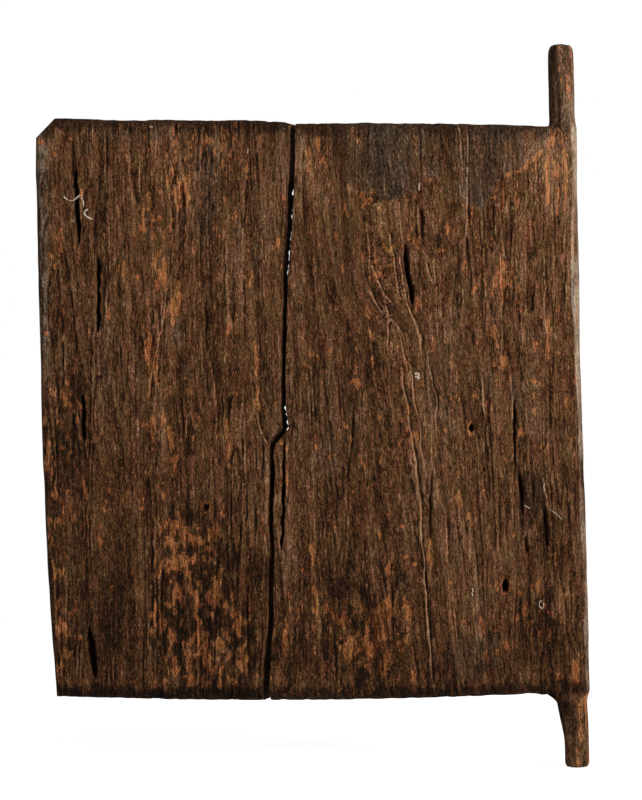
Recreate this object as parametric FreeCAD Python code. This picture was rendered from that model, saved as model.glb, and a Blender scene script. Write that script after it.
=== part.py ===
# A hewn granary door leaf: two thick planks held edge to edge by three forged iron staples on the
# hidden face. The wider plank carries both hinge pivots, cut from the same piece of wood, so the
# leaf swings in two sockets of the doorway with no other hinge.
#
# Frame: millimetres. The origin is on the hinge axis, level with the mouth of the lower socket.
# +Z is up along the hinge axis, -X points to the free edge, and -Y is the weathered face.
import FreeCAD, Part

import math
import os

Vector = FreeCAD.Vector

# Leaf, in the plane of its face
LEAF_REACH = 461.0  # hinge axis to the free edge, at the cut corner
STILE_OVERHANG = 12.2  # hinge axis to the outside of the hinge edge
LEAF_LIFT = 47.5  # socket mouth to the bottom edge, at the hinge edge
STILE_HEIGHT = 492.0  # bottom edge to top edge, at the hinge edge
TOP_RISE = 19.0  # the top edge climbs this much towards the free edge
BOTTOM_RISE = 6.0  # the bottom edge climbs this much towards the free edge
FREE_EDGE_LEAN = 7.0  # the foot of the free edge stands this much nearer the hinge
TOP_BOW = 1.8
BOTTOM_BOW = 5.5
FREE_EDGE_BOW = 3.8
CORNER_RUN = 17.5  # the cut corner, along the top edge
CORNER_DROP = 17.5  # the cut corner, down the free edge

# Thickness and the worn arrises
STILE_THICKNESS = 27.0
FREE_EDGE_THICKNESS = 23.0
TOP_ROUND = 8.0  # width of the worn band on the face
BOTTOM_ROUND = 10.0
FREE_EDGE_ROUND = 4.5
STILE_ROUND = 12.0
ROUND_DEPTH = 9.0  # how deep the wear reaches from a face
ROUND_LIMIT_SHARE = 0.8  # of half the thickness, where the leaf is thin
BACK_WEAR_SHARE = 0.5  # the hidden face is worn this much as wide
ROUND_STEPS = 3

# Hewn faces: long shallow waves left by the adze
FACE_WAVE_HEIGHT = 0.7
FACE_WAVE_WIDTH = 130.0
FACE_WAVE_LENGTH = 250.0
BACK_WAVE_HEIGHT = 0.7
BACK_WAVE_WIDTH = 88.0
BACK_WAVE_LENGTH = 156.0
WAVE_POINTS = 4  # interpolation points to a wave

# Joint between the planks
JOINT_REACH = 237.5  # hinge axis to the joint, at the top edge
JOINT_DRIFT = 34.0  # the joint ends this much nearer the free edge at the bottom
JOINT_GAP = 6.4  # widest opening, at the bottom edge
SLANT_TOP = 2.6  # sideways drift of the gap from face to back, at the top edge
SLANT_BOTTOM = 9.0
# The run of the joint, top to bottom: share of the leaf's height, of the drift and of the gap.
# Between the fifth row and the sixth the riven edge steps across the grain.
JOINT_RUN_SHARES = (
    (1.00, 0.00, 0.72),
    (0.81, 0.12, 0.62),
    (0.70, 0.27, 0.44),
    (0.50, 0.37, 0.50),
    (0.47, 0.39, 0.55),
    (0.435, 0.73, 0.50),
    (0.34, 0.72, 0.42),
    (0.18, 0.82, 0.70),
    (0.09, 0.91, 0.90),
    (0.00, 1.00, 1.00),
)
STEP_ROW = 5  # the row where the step ends and the splinter starts, counted from nought

# Splinter: a tongue beside the lower joint, parted from its plank by a blind crack
SPLINTER_WIDTH = 9.0
SPLINTER_LENGTH = 100.0
SPLINTER_CRACK_WIDTH = 2.4
SPLINTER_CRACK_DEPTH = 15.0

# Drying slits in the weathered face: distance from the hinge axis and height over the bottom
# edge as shares of the leaf's reach and height, then length and width as shares of the largest.
SLIT_LENGTH = 44.0
SLIT_WIDTH = 5.4
SLIT_DEPTH = 11.0
SLIT_SHARES = (
    (0.926, 0.905, 0.80, 0.74),
    (0.891, 0.742, 0.95, 0.60),
    (0.927, 0.519, 0.62, 0.66),
    (0.921, 0.088, 0.76, 1.00),
)
KNOT_SLIT_REACH = 137.5  # hinge axis to the slit above the swirl in the wide plank
KNOT_SLIT_RISE = 368.5  # bottom edge to the same slit
KNOT_SLIT_TILT_DEGREES = 10.0  # from the grain

# Beetle holes in the wide plank, oval along the grain
LARGE_HOLE_REACH = 60.0
LARGE_HOLE_RISE = 93.0
LARGE_HOLE_WIDTH = 5.4
LARGE_HOLE_LENGTH = 9.8
SMALL_HOLE_REACH = 85.5
SMALL_HOLE_RISE = 233.0
SMALL_HOLE_WIDTH = 3.6
SMALL_HOLE_LENGTH = 6.4
HOLE_DEPTH = 16.0

# Upper pivot, bottom to top
UPPER_ROOT_DEPTH = 16.0  # how deep the pivot's form runs on into the plank
UPPER_ROOT_RISE = 8.0  # top edge to the start of the round journal
UPPER_JOURNAL_LENGTH = 42.0
UPPER_TAPER_LENGTH = 14.0
UPPER_TIP_LENGTH = 10.5
UPPER_PIVOT_RADIUS = 11.6
UPPER_ROOT_WAIST = 0.6  # the root is this much slimmer than the journal
UPPER_TAPER = 1.2  # radius lost along the taper
UPPER_TIP_ROUND = 2.8  # radius lost over the worn tip

# Lower pivot, bottom to top
LOWER_PIVOT_RADIUS = 10.9
LOWER_TIP_LENGTH = 4.0
LOWER_TIP_CHAMFER = 1.7
LOWER_JOURNAL_LENGTH = 15.5
LOWER_NECK_DROP = 9.5  # bottom edge down to the neck
LOWER_NECK_WIDTH = 28.8
LOWER_ROOT_WIDTH = 40.0
LOWER_ROOT_REACH = 4.0  # how far the flared root runs on above the bottom edge
LOWER_SET_IN = 1.3  # root and neck stand this much behind each face of the stile

# Iron staples, across the joint on the hidden face
STAPLE_SPAN = 62.0  # between the middles of the legs
STAPLE_WIDTH = 9.0  # at the middle of the crown
STAPLE_END_WIDTH = 6.4
STAPLE_THICKNESS = 3.8
STAPLE_BEND_RADIUS = 2.2  # inside of each bend
STAPLE_COVER = 6.4  # wood left between the points and the weathered face
STAPLE_POINT_SHARE = 0.5  # of a leg, drawn out to the point
STAPLE_POINT_WIDTH = 1.2
STAPLE_BED = 0.8  # how deep the crown is driven into the face
# From the top staple to the bottom one: node name, share of the leaf's height, and tilt
STAPLE_NAMES = ("upper_staple", "middle_staple", "lower_staple")
STAPLE_HEIGHT_SHARES = (0.87, 0.53, 0.14)
STAPLE_TILT_DEGREES = (4.0, -3.0, 5.0)

OVERRUN = 6.0  # how far cutting shapes and blanks reach past what they cut

TOP_AT_STILE = LEAF_LIFT + STILE_HEIGHT
TOP_AT_FREE_EDGE = TOP_AT_STILE + TOP_RISE


def half_thickness(x):
    """Half the leaf's thickness at x: it tapers evenly from the hinge axis to the free edge."""
    return (STILE_THICKNESS + (STILE_THICKNESS - FREE_EDGE_THICKNESS) * x / LEAF_REACH) / 2


def wave(x, z, height, width, length):
    """The adze's waves: rows of shallow scoops, each row staggered against the next."""
    across = 2 * math.pi * x / width
    along = 2 * math.pi * z / length
    return height * math.cos(across) * math.cos(along + across / 2)


def face_depth(x, z):
    """y of the weathered face."""
    return -half_thickness(x) - wave(x, z, FACE_WAVE_HEIGHT, FACE_WAVE_WIDTH, FACE_WAVE_LENGTH)


def back_depth(x, z):
    """y of the hidden face."""
    return half_thickness(x) + wave(x, z, BACK_WAVE_HEIGHT, BACK_WAVE_WIDTH, BACK_WAVE_LENGTH)


def spaced(low, high, step):
    """Evenly spaced values from low to high, about a step apart."""
    count = math.ceil((high - low) / step)
    return [low + (high - low) * i / count for i in range(count + 1)]


def hewn_surface(depth, width, length):
    """A smooth surface through the hewn depth at a grid of points, a little larger than the leaf."""
    left = -LEAF_REACH - FREE_EDGE_BOW - OVERRUN
    right = STILE_OVERHANG + OVERRUN
    low = LEAF_LIFT - BOTTOM_BOW - OVERRUN
    high = TOP_AT_FREE_EDGE + TOP_BOW + OVERRUN
    xs = spaced(left, right, width / WAVE_POINTS)
    zs = spaced(low, high, length / WAVE_POINTS)
    surface = Part.BSplineSurface()
    surface.interpolate([[Vector(x, depth(x, z), z) for z in zs] for x in xs])
    return surface


def hewn_slab():
    """The solid between the weathered face and the hidden face."""
    face = hewn_surface(face_depth, FACE_WAVE_WIDTH, FACE_WAVE_LENGTH)
    back = hewn_surface(back_depth, BACK_WAVE_WIDTH, BACK_WAVE_LENGTH)
    rims = []
    for surface in (face, back):
        u_low, u_high, v_low, v_high = surface.bounds()
        curves = [surface.uIso(u_low), surface.uIso(u_high), surface.vIso(v_low), surface.vIso(v_high)]
        rims.append([curve.toShape() for curve in curves])
    sides = [Part.makeRuledSurface(face_rim, back_rim) for face_rim, back_rim in zip(*rims)]
    shell = Part.makeShell([face.toShape(), back.toShape(), *sides])
    shell.sewShape()
    solid = Part.makeSolid(shell)
    if solid.Volume < 0:
        solid.reverse()
    return solid


def outline(side, depth, wear, width_share):
    """The leaf's outline as a wire, depth under one face, drawn in by wear times the worn widths."""
    inset = wear * width_share
    free_edge = -LEAF_REACH + FREE_EDGE_ROUND * inset
    hinge_edge = STILE_OVERHANG - STILE_ROUND * wear
    bottom = LEAF_LIFT + BOTTOM_ROUND * inset
    top = TOP_AT_STILE - TOP_ROUND * inset
    low_left = (free_edge + FREE_EDGE_LEAN, bottom + BOTTOM_RISE)
    low_right = (hinge_edge, bottom)
    high_right = (hinge_edge, top)
    corner_top = (free_edge + CORNER_RUN, top + TOP_RISE)
    corner_foot = (free_edge, top + TOP_RISE - CORNER_DROP)

    def place(point):
        x, z = point
        half = half_thickness(x)
        return Vector(x, side * (half - min(depth, half * ROUND_LIMIT_SHARE)), z)

    def straight(start, end):
        return Part.LineSegment(place(start), place(end)).toShape()

    def bowed(start, end, bow_x, bow_z):
        middle = ((start[0] + end[0]) / 2 + bow_x, (start[1] + end[1]) / 2 + bow_z)
        return Part.Arc(place(start), place(middle), place(end)).toShape()

    return Part.Wire(
        [
            bowed(low_left, low_right, 0, -BOTTOM_BOW),
            straight(low_right, high_right),
            bowed(high_right, corner_top, 0, TOP_BOW),
            straight(corner_top, corner_foot),
            bowed(corner_foot, low_left, -FREE_EDGE_BOW, 0),
        ]
    )


def rounded_body():
    """The leaf's outline through its thickness, with a quarter ellipse of wear at both faces."""
    wires = []
    for side, width_share in ((-1, 1.0), (1, BACK_WEAR_SHARE)):
        rings = []
        for step in range(ROUND_STEPS + 1):
            depth_share = step / ROUND_STEPS
            rings.append((ROUND_DEPTH * depth_share, 1 - math.sqrt(1 - (1 - depth_share) ** 2)))
        (_, first_wear), (second_depth, second_wear) = rings[:2]
        outer_wear = first_wear + (first_wear - second_wear) * OVERRUN / second_depth
        rings[0] = (-OVERRUN, outer_wear)
        half = [outline(side, depth, wear, width_share) for depth, wear in rings]
        wires += half if side < 0 else half[::-1]
    return Part.makeLoft(wires, True, True)


def joint_point(height_share, drift_share):
    """x and z of a point on the middle of the joint, at the weathered face."""
    x = -JOINT_REACH - JOINT_DRIFT * drift_share
    top = TOP_AT_STILE + TOP_RISE * JOINT_REACH / LEAF_REACH
    return x, LEAF_LIFT + (top - LEAF_LIFT) * height_share


def joint_x(height_share):
    """x of the middle of the joint at a share of the leaf's height."""
    for upper, lower in zip(JOINT_RUN_SHARES, JOINT_RUN_SHARES[1:]):
        if height_share >= lower[0]:
            break
    along = (upper[0] - height_share) / (upper[0] - lower[0])
    return joint_point(height_share, upper[1] + (lower[1] - upper[1]) * along)[0]


def slanted_prism(points, front_y, back_y):
    """A prism from front_y to back_y whose points (x, z, slant) drift sideways by their slant."""

    def ring(y, drift):
        corners = [Vector(x + slant * drift, y, z) for x, z, slant in points]
        return Part.makePolygon([*corners, corners[0]])

    return Part.makeLoft([ring(front_y, 0), ring(back_y, (back_y - front_y) / STILE_THICKNESS)], True, True)


def joint_gap():
    """The open joint: as wide as its shares say, and slanted so that it hides what lies behind."""
    left, right = [], []
    for height_share, drift_share, gap_share in JOINT_RUN_SHARES:
        x, z = joint_point(height_share, drift_share)
        slant = SLANT_BOTTOM + (SLANT_TOP - SLANT_BOTTOM) * height_share
        half_gap = JOINT_GAP * gap_share / 2
        left.append((x - half_gap, z, slant))
        right.append((x + half_gap, z, slant))
    for side in (left, right):
        x, z, slant = side[0]
        side.insert(0, (x, z + TOP_BOW + OVERRUN, slant))
        x, z, slant = side[-1]
        side.append((x, z - BOTTOM_BOW - OVERRUN, slant))
    back = STILE_THICKNESS / 2 + OVERRUN
    return slanted_prism(left + right[::-1], -back, back)


def splinter_crack():
    """The blind wedge that parts the splinter from the wide plank."""
    height_share, drift_share, gap_share = JOINT_RUN_SHARES[STEP_ROW]
    x, z = joint_point(height_share, drift_share)
    mouth = joint_point(*JOINT_RUN_SHARES[STEP_ROW - 1][:2])[1]
    edge = x + JOINT_GAP * gap_share / 2 + SPLINTER_WIDTH
    points = [
        (edge, mouth, 0),
        (edge + SPLINTER_CRACK_WIDTH, mouth, 0),
        (edge - SPLINTER_CRACK_WIDTH / 2, z - SPLINTER_LENGTH, 0),
    ]
    face = -half_thickness(edge)
    return slanted_prism(points, face - OVERRUN, face + SPLINTER_CRACK_DEPTH)


def slit(x, z, length, width, tilt=0.0):
    """A drying slit: two arcs that meet in points along the grain, cut into the weathered face."""
    foot, head = Vector(0, 0, -length / 2), Vector(0, 0, length / 2)
    lips = [Part.Arc(foot, Vector(side * width / 2, 0, 0), head).toShape() for side in (1, -1)]
    lens = Part.Face(Part.Wire(lips))
    lens.rotate(Vector(0, 0, 0), Vector(0, 1, 0), tilt)
    lens.translate(Vector(x, face_depth(x, z) - OVERRUN, z))
    return lens.extrude(Vector(0, SLIT_DEPTH + OVERRUN, 0))


def oval(width, height):
    """An oval wire in the XY plane: four arcs, each through the point halfway round a quarter."""
    half_width, half_height = width / 2, height / 2
    halfway = math.sqrt(0.5)
    arcs = []
    for side_x, side_y in ((1, 1), (-1, 1), (-1, -1), (1, -1)):
        start = Vector(side_x * half_width, 0, 0)
        middle = Vector(side_x * half_width * halfway, side_y * half_height * halfway, 0)
        end = Vector(0, side_y * half_height, 0)
        points = (start, middle, end) if side_x == side_y else (end, middle, start)
        arcs.append(Part.Arc(*points).toShape())
    return Part.Wire(arcs)


def beetle_hole(reach, rise, width, length):
    """A blind oval hole, longer along the grain."""
    x, z = -reach, LEAF_LIFT + rise
    mouth = Part.Face(oval(width, length))
    mouth.rotate(Vector(0, 0, 0), Vector(1, 0, 0), 90)
    mouth.translate(Vector(x, face_depth(x, z) - OVERRUN, z))
    return mouth.extrude(Vector(0, HOLE_DEPTH + OVERRUN, 0))


def upper_pivot():
    """The long upper pivot, turned about the hinge axis, with a worn round tip."""
    journal = TOP_AT_STILE + UPPER_ROOT_RISE
    journal_end = journal + UPPER_JOURNAL_LENGTH
    shoulder_z = journal_end + UPPER_TAPER_LENGTH
    tip = shoulder_z + UPPER_TIP_LENGTH
    foot = TOP_AT_STILE - UPPER_ROOT_DEPTH
    shoulder_radius = UPPER_PIVOT_RADIUS - UPPER_TAPER
    shoulder = Vector(shoulder_radius, 0, shoulder_z)
    bulge = Vector(shoulder_radius - UPPER_TIP_ROUND / 3, 0, shoulder_z + UPPER_TIP_LENGTH * 2 / 3)
    crest = Vector(shoulder_radius - UPPER_TIP_ROUND, 0, tip)
    corners = [
        Vector(0, 0, tip),
        Vector(0, 0, foot),
        Vector(UPPER_PIVOT_RADIUS - UPPER_ROOT_WAIST, 0, foot),
        Vector(UPPER_PIVOT_RADIUS, 0, journal),
        Vector(UPPER_PIVOT_RADIUS, 0, journal_end),
        shoulder,
    ]
    edges = [Part.LineSegment(a, b).toShape() for a, b in zip(corners, corners[1:])]
    edges.append(Part.Arc(shoulder, bulge, crest).toShape())
    edges.append(Part.LineSegment(crest, corners[0]).toShape())
    return Part.Face(Part.Wire(edges)).revolve(Vector(0, 0, 0), Vector(0, 0, 1), 360)


def lower_ring(width, depth, z):
    """An oval level at z whose outside lies on the line of the journal's outside."""
    ring = oval(width, depth)
    ring.translate(Vector(LOWER_PIVOT_RADIUS - width / 2, 0, z))
    return ring


def lower_pivot():
    """The short lower pivot: a flared root and a tapering neck that end in a round journal."""
    depth = STILE_THICKNESS - 2 * LOWER_SET_IN
    root = lower_ring(LOWER_ROOT_WIDTH, depth, LEAF_LIFT + LOWER_ROOT_REACH)
    neck = lower_ring(LOWER_NECK_WIDTH, depth, LEAF_LIFT - LOWER_NECK_DROP)
    mouth = lower_ring(2 * LOWER_PIVOT_RADIUS, 2 * LOWER_PIVOT_RADIUS, 0)
    down = Vector(0, 0, -1)
    journal_end = down * LOWER_JOURNAL_LENGTH
    tip_radius = LOWER_PIVOT_RADIUS - LOWER_TIP_CHAMFER
    journal = Part.makeCylinder(LOWER_PIVOT_RADIUS, LOWER_JOURNAL_LENGTH, Vector(0, 0, 0), down)
    tip = Part.makeCone(LOWER_PIVOT_RADIUS, tip_radius, LOWER_TIP_LENGTH, journal_end, down)
    flare = Part.makeLoft([root, neck], True, True)
    return journal.multiFuse([flare, Part.makeLoft([neck, mouth], True, True), tip])


def bar_section(x, y, width, thickness):
    """A rectangle level at y: thickness along X and width along Z."""
    side, front = thickness / 2, width / 2
    corners = [
        Vector(x - side, y, -front),
        Vector(x + side, y, -front),
        Vector(x + side, y, front),
        Vector(x - side, y, front),
    ]
    return Part.makePolygon([*corners, corners[0]])


def staple_blank(leg_end):
    """The bar before it is trimmed: a flat section swept up one leg, along the crown and down."""
    half = STAPLE_SPAN / 2
    middle = STAPLE_THICKNESS / 2
    bend = STAPLE_BEND_RADIUS + middle
    elbow = bend * math.sqrt(0.5)
    foot = Vector(-half, leg_end, 0)
    spring = Vector(-half, middle - bend, 0)
    knee = Vector(bend - half - elbow, middle - bend + elbow, 0)
    crown = Vector(bend - half, middle, 0)

    def mirrored(point):
        return Vector(-point.x, point.y, 0)

    curves = [
        Part.LineSegment(foot, spring),
        Part.Arc(spring, knee, crown),
        Part.LineSegment(crown, mirrored(crown)),
        Part.Arc(mirrored(crown), mirrored(knee), mirrored(spring)),
        Part.LineSegment(mirrored(spring), mirrored(foot)),
    ]
    path = Part.Wire([curve.toShape() for curve in curves])
    return path.makePipeShell([bar_section(foot.x, foot.y, STAPLE_WIDTH, STAPLE_THICKNESS)], True, False)


def staple_plan(leg_end):
    """What the smith leaves of the bar, seen from behind: broad in the middle, slim at the ends."""
    end = STAPLE_SPAN / 2 + STAPLE_THICKNESS / 2
    slim, broad = STAPLE_END_WIDTH / 2, STAPLE_WIDTH / 2
    low_left, low_right = Vector(-end, leg_end, -slim), Vector(end, leg_end, -slim)
    high_left, high_right = Vector(-end, leg_end, slim), Vector(end, leg_end, slim)
    curves = [
        Part.Arc(low_left, Vector(0, leg_end, -broad), low_right),
        Part.LineSegment(low_right, high_right),
        Part.Arc(high_right, Vector(0, leg_end, broad), high_left),
        Part.LineSegment(high_left, low_left),
    ]
    plan = Part.Face(Part.Wire([curve.toShape() for curve in curves]))
    return plan.extrude(Vector(0, STAPLE_THICKNESS + OVERRUN - leg_end, 0))


def staple(height_share, tilt):
    """A forged staple: one bar bent twice, broad at the crown, its legs drawn out to points."""
    x = joint_x(height_share) + (SLANT_TOP + SLANT_BOTTOM) / 2
    z = joint_point(height_share, 0)[1]
    leg = 2 * half_thickness(x) - STAPLE_BED - STAPLE_COVER
    leg_end = leg * (STAPLE_POINT_SHARE - 1)
    points = []
    for side in (-1, 1):
        leg_x = side * STAPLE_SPAN / 2
        start = bar_section(leg_x, leg_end, STAPLE_END_WIDTH, STAPLE_THICKNESS)
        tip = bar_section(leg_x, -leg, STAPLE_POINT_WIDTH, STAPLE_POINT_WIDTH)
        points.append(Part.makeLoft([start, tip], True, True))
    forged = staple_blank(leg_end).common(staple_plan(leg_end)).multiFuse(points).removeSplitter()
    forged.rotate(Vector(0, 0, 0), Vector(0, 1, 0), tilt)
    forged.translate(Vector(x, back_depth(x, z) - STAPLE_BED, z))
    return forged


def largest_solid(shape):
    """The one solid of a cut shape, without crumbs."""
    return max(shape.Solids, key=lambda solid: solid.Volume)


def narrow_plank(blank, staples):
    """The plank along the free edge, with its drying slits and the staples' seats."""
    slits = []
    for reach_share, rise_share, length_share, width_share in SLIT_SHARES:
        z = joint_point(rise_share, 0)[1]
        slits.append(slit(-LEAF_REACH * reach_share, z, SLIT_LENGTH * length_share, SLIT_WIDTH * width_share))
    return largest_solid(blank.cut([*slits, *staples]))


def wide_plank(blank, staples):
    """The plank along the hinge edge, with both pivots, its cracks, holes and the staples' seats."""
    plank = blank.multiFuse([upper_pivot(), lower_pivot()])
    cuts = [
        splinter_crack(),
        slit(-KNOT_SLIT_REACH, LEAF_LIFT + KNOT_SLIT_RISE, SLIT_LENGTH, SLIT_WIDTH, -KNOT_SLIT_TILT_DEGREES),
        beetle_hole(LARGE_HOLE_REACH, LARGE_HOLE_RISE, LARGE_HOLE_WIDTH, LARGE_HOLE_LENGTH),
        beetle_hole(SMALL_HOLE_REACH, SMALL_HOLE_RISE, SMALL_HOLE_WIDTH, SMALL_HOLE_LENGTH),
    ]
    return largest_solid(plank.cut([*cuts, *staples]))


def main():
    os.makedirs("parts", exist_ok=True)
    settings = zip(STAPLE_NAMES, STAPLE_HEIGHT_SHARES, STAPLE_TILT_DEGREES)
    nodes = {name: staple(height_share, tilt) for name, height_share, tilt in settings}
    staples = list(nodes.values())
    leaf = hewn_slab().common(rounded_body()).cut(joint_gap())
    blanks = sorted(leaf.Solids, key=lambda solid: solid.CenterOfMass.x)
    nodes["free_edge_plank"] = narrow_plank(blanks[0], staples)
    nodes["hinge_plank"] = wide_plank(blanks[-1], staples)
    for name, shape in nodes.items():
        shape.exportStep(f"parts/{name}.step")
        print(name, "valid" if shape.isValid() else "INVALID", len(shape.Solids), round(shape.Volume))


main()
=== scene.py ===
import math

import bpy
import numpy as np
from mathutils import Matrix, Vector


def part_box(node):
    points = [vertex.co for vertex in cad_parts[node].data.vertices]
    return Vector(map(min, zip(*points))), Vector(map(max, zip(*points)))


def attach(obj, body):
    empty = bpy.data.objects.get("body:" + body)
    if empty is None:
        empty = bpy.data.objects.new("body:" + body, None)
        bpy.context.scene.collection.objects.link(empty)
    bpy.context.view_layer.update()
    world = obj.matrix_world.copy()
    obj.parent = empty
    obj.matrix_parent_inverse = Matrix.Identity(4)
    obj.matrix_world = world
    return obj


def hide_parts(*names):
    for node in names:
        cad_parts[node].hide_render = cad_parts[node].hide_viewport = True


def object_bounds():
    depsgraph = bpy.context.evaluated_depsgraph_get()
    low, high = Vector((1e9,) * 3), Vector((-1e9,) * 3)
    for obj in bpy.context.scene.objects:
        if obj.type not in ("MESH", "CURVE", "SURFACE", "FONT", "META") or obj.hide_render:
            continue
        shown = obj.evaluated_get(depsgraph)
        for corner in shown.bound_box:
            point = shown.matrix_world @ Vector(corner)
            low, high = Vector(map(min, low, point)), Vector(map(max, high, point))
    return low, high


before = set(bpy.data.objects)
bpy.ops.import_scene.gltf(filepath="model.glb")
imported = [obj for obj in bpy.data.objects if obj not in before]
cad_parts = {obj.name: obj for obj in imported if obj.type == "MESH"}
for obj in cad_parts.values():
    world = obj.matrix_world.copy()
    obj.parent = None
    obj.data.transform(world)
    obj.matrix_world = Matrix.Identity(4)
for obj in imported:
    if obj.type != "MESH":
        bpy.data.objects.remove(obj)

bl_info = {
    "name": "Granary door leaf",
    "version": (1, 0, 0),
    "blender": (4, 5, 0),
    "location": "3D View > Sidebar > Door leaf",
    "description": "The weathered planks, staples and caught fibres of a hewn granary door leaf",
    "category": "Object",
}

CAD_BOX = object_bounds()
BODY = "root"
WOOD_NAME = "weathered hewn hardwood"
MM = 0.001  # one millimetre in metres

# How the photograph lies over the leaf. The hinge axis leans a little in it.
PICTURE_WIDTH = 642
PICTURE_HEIGHT = 800
PIXEL = 0.875  # mm on the leaf's face
LEAN = 0.02382
SOCKET_MOUTH_PIXEL = (577.3, 745.0)
LENS = 100.0
SENSOR = 36.0
OUTLINE_PLANE = -3.0  # y of the widest outline, which PIXEL holds for, in mm

# The leaf, in mm: the same sizes as the solids have
LEAF_REACH = 461.0
STILE_EDGE = 12.2
FOOT_AT_STILE = 47.5
TOP_AT_STILE = 539.5
FOOT_AT_FREE_EDGE = 53.5
TOP_AT_FREE_EDGE = 558.5
FREE_EDGE_FOOT = -454.0
CUT_CORNER = (-461.0, 541.0)
TOP_CORNER = (-443.5, 558.5)
TOP_BOW = 1.8
BOTTOM_BOW = 5.5
FREE_EDGE_BOW = 3.8
STILE_THICKNESS = 27.0
FREE_EDGE_THICKNESS = 23.0

# How the real edges stray from those lines, in mm: place along the edge, then offset
TOP_STRAY = ((-461, -0.6), (-440, 0.8), (-410, 0.2), (-385, -0.8), (-350, 0.0), (-315, -0.4), (-275, 0.4),
             (-252, -0.4), (-243, -1.0), (-238, -2.4), (-205, -1.4), (-170, 0.0), (-150, -0.2), (-110, 0.7),
             (-70, 0.9), (-40, 1.2), (-14, 0.3))
FREE_EDGE_STRAY = ((45, 0.6), (110, 1.0), (170, 1.3), (235, 1.2), (300, 0.7), (360, 0.6), (430, 0.7),
                   (500, 0.6), (541, 0.0))
STILE_STRAY = ((40, 0.0), (90, 0.0), (150, -0.3), (215, -0.2), (260, -1.0), (330, -1.6), (410, -0.9),
               (480, -0.8), (545, 0.0))

# Worn arrises, in mm
ROUND_DEPTH = 9.0
TOP_ROUND = 8.0
BOTTOM_ROUND = 10.0
FREE_EDGE_ROUND = 4.5
STILE_ROUND = 12.0
JOINT_ROUND = 1.3
BACK_WEAR_SHARE = 0.5

# The joint: height, left side of the gap and its width on the weathered face, in mm
JOINT_LINE = (
    (560, -239.4, 4.4), (518, -240.1, 4.4), (497, -241.4, 4.1), (460, -243.2, 3.6), (434, -245.6, 3.3),
    (413, -247.8, 3), (365, -249.8, 2.9), (324, -251.7, 3), (300, -252, 3.3), (284, -251.2, 4.6),
    (277.5, -257.4, 5.6), (270.5, -262.9, 4.4), (261, -263.7, 3), (245, -262.3, 2.6), (203, -265.5, 2.6),
    (172, -264.9, 2.9), (161, -266.9, 3.4), (119, -268.8, 4.2), (98, -271.1, 5), (62, -274.5, 6),
    (45, -275.4, 6.2),
)
# Sideways drift of the joint from face to back: height, left wall, right wall, in mm
JOINT_SLANT = (
    (560, 8.2, 7.2), (499, 7.4, 6.4), (493, 4.7, 3.2), (486, 4.9, 3.4), (480, 5.1, 3.6), (466, 4.8, 3.4),
    (458, 5.4, 4), (449, 4.2, 2.8), (428, 4, 2.6), (416, 4.4, 3.2), (408, 6.4, 5.2), (307, 6.4, 5.2),
    (302, 4.2, 3.2), (287, 5.2, 3.6), (281, 7.4, 5.4), (276, 9, 7.2), (262, 7.2, 6.6), (45, 9, 8.8),
)

# Pivots, in mm
UPPER_RADIUS = 11.6
UPPER_JOURNAL = (547.5, 589.5)
UPPER_TAPER = (603.5, 10.4)
UPPER_TIP = (614.0, 7.6)
UPPER_TIP_LEAN = 1.6
LOWER_RADIUS = 10.9
LOWER_ROOT_LEFT = -29.1
LOWER_NECK = (38.0, 28.8, 24.4)
LOWER_TIP = (-19.5, 9.2)
LOWER_TIP_START = -15.5
PIVOT_LEFT = -12.0

# Mesh steps. The hidden face has a third of the columns of the weathered one.
ROUND_STEPS, STRAIGHT_STEPS, BACK_STEPS = 8, 3, 4
STILE_ROUND_STEPS, STILE_STRAIGHT_STEPS, STILE_BACK_STEPS = 14, 8, 8
FINE_DEPTH_STEPS = ROUND_STEPS + 1
COARSER = 3
WIDE_COLUMNS, WIDE_ROWS = 306, 163
NARROW_COLUMNS, NARROW_ROWS = 300, 200
UPPER_PIVOT_COLUMNS = 33
LOWER_PIVOT_COLUMNS = 51

# The grid that reliefs and finishes are worked out on, in mm
CHART_LOW = (-470.0, -26.0)
CHART_HIGH = (20.0, 622.0)
CHART_STEP = (0.5, 1.0)

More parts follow.
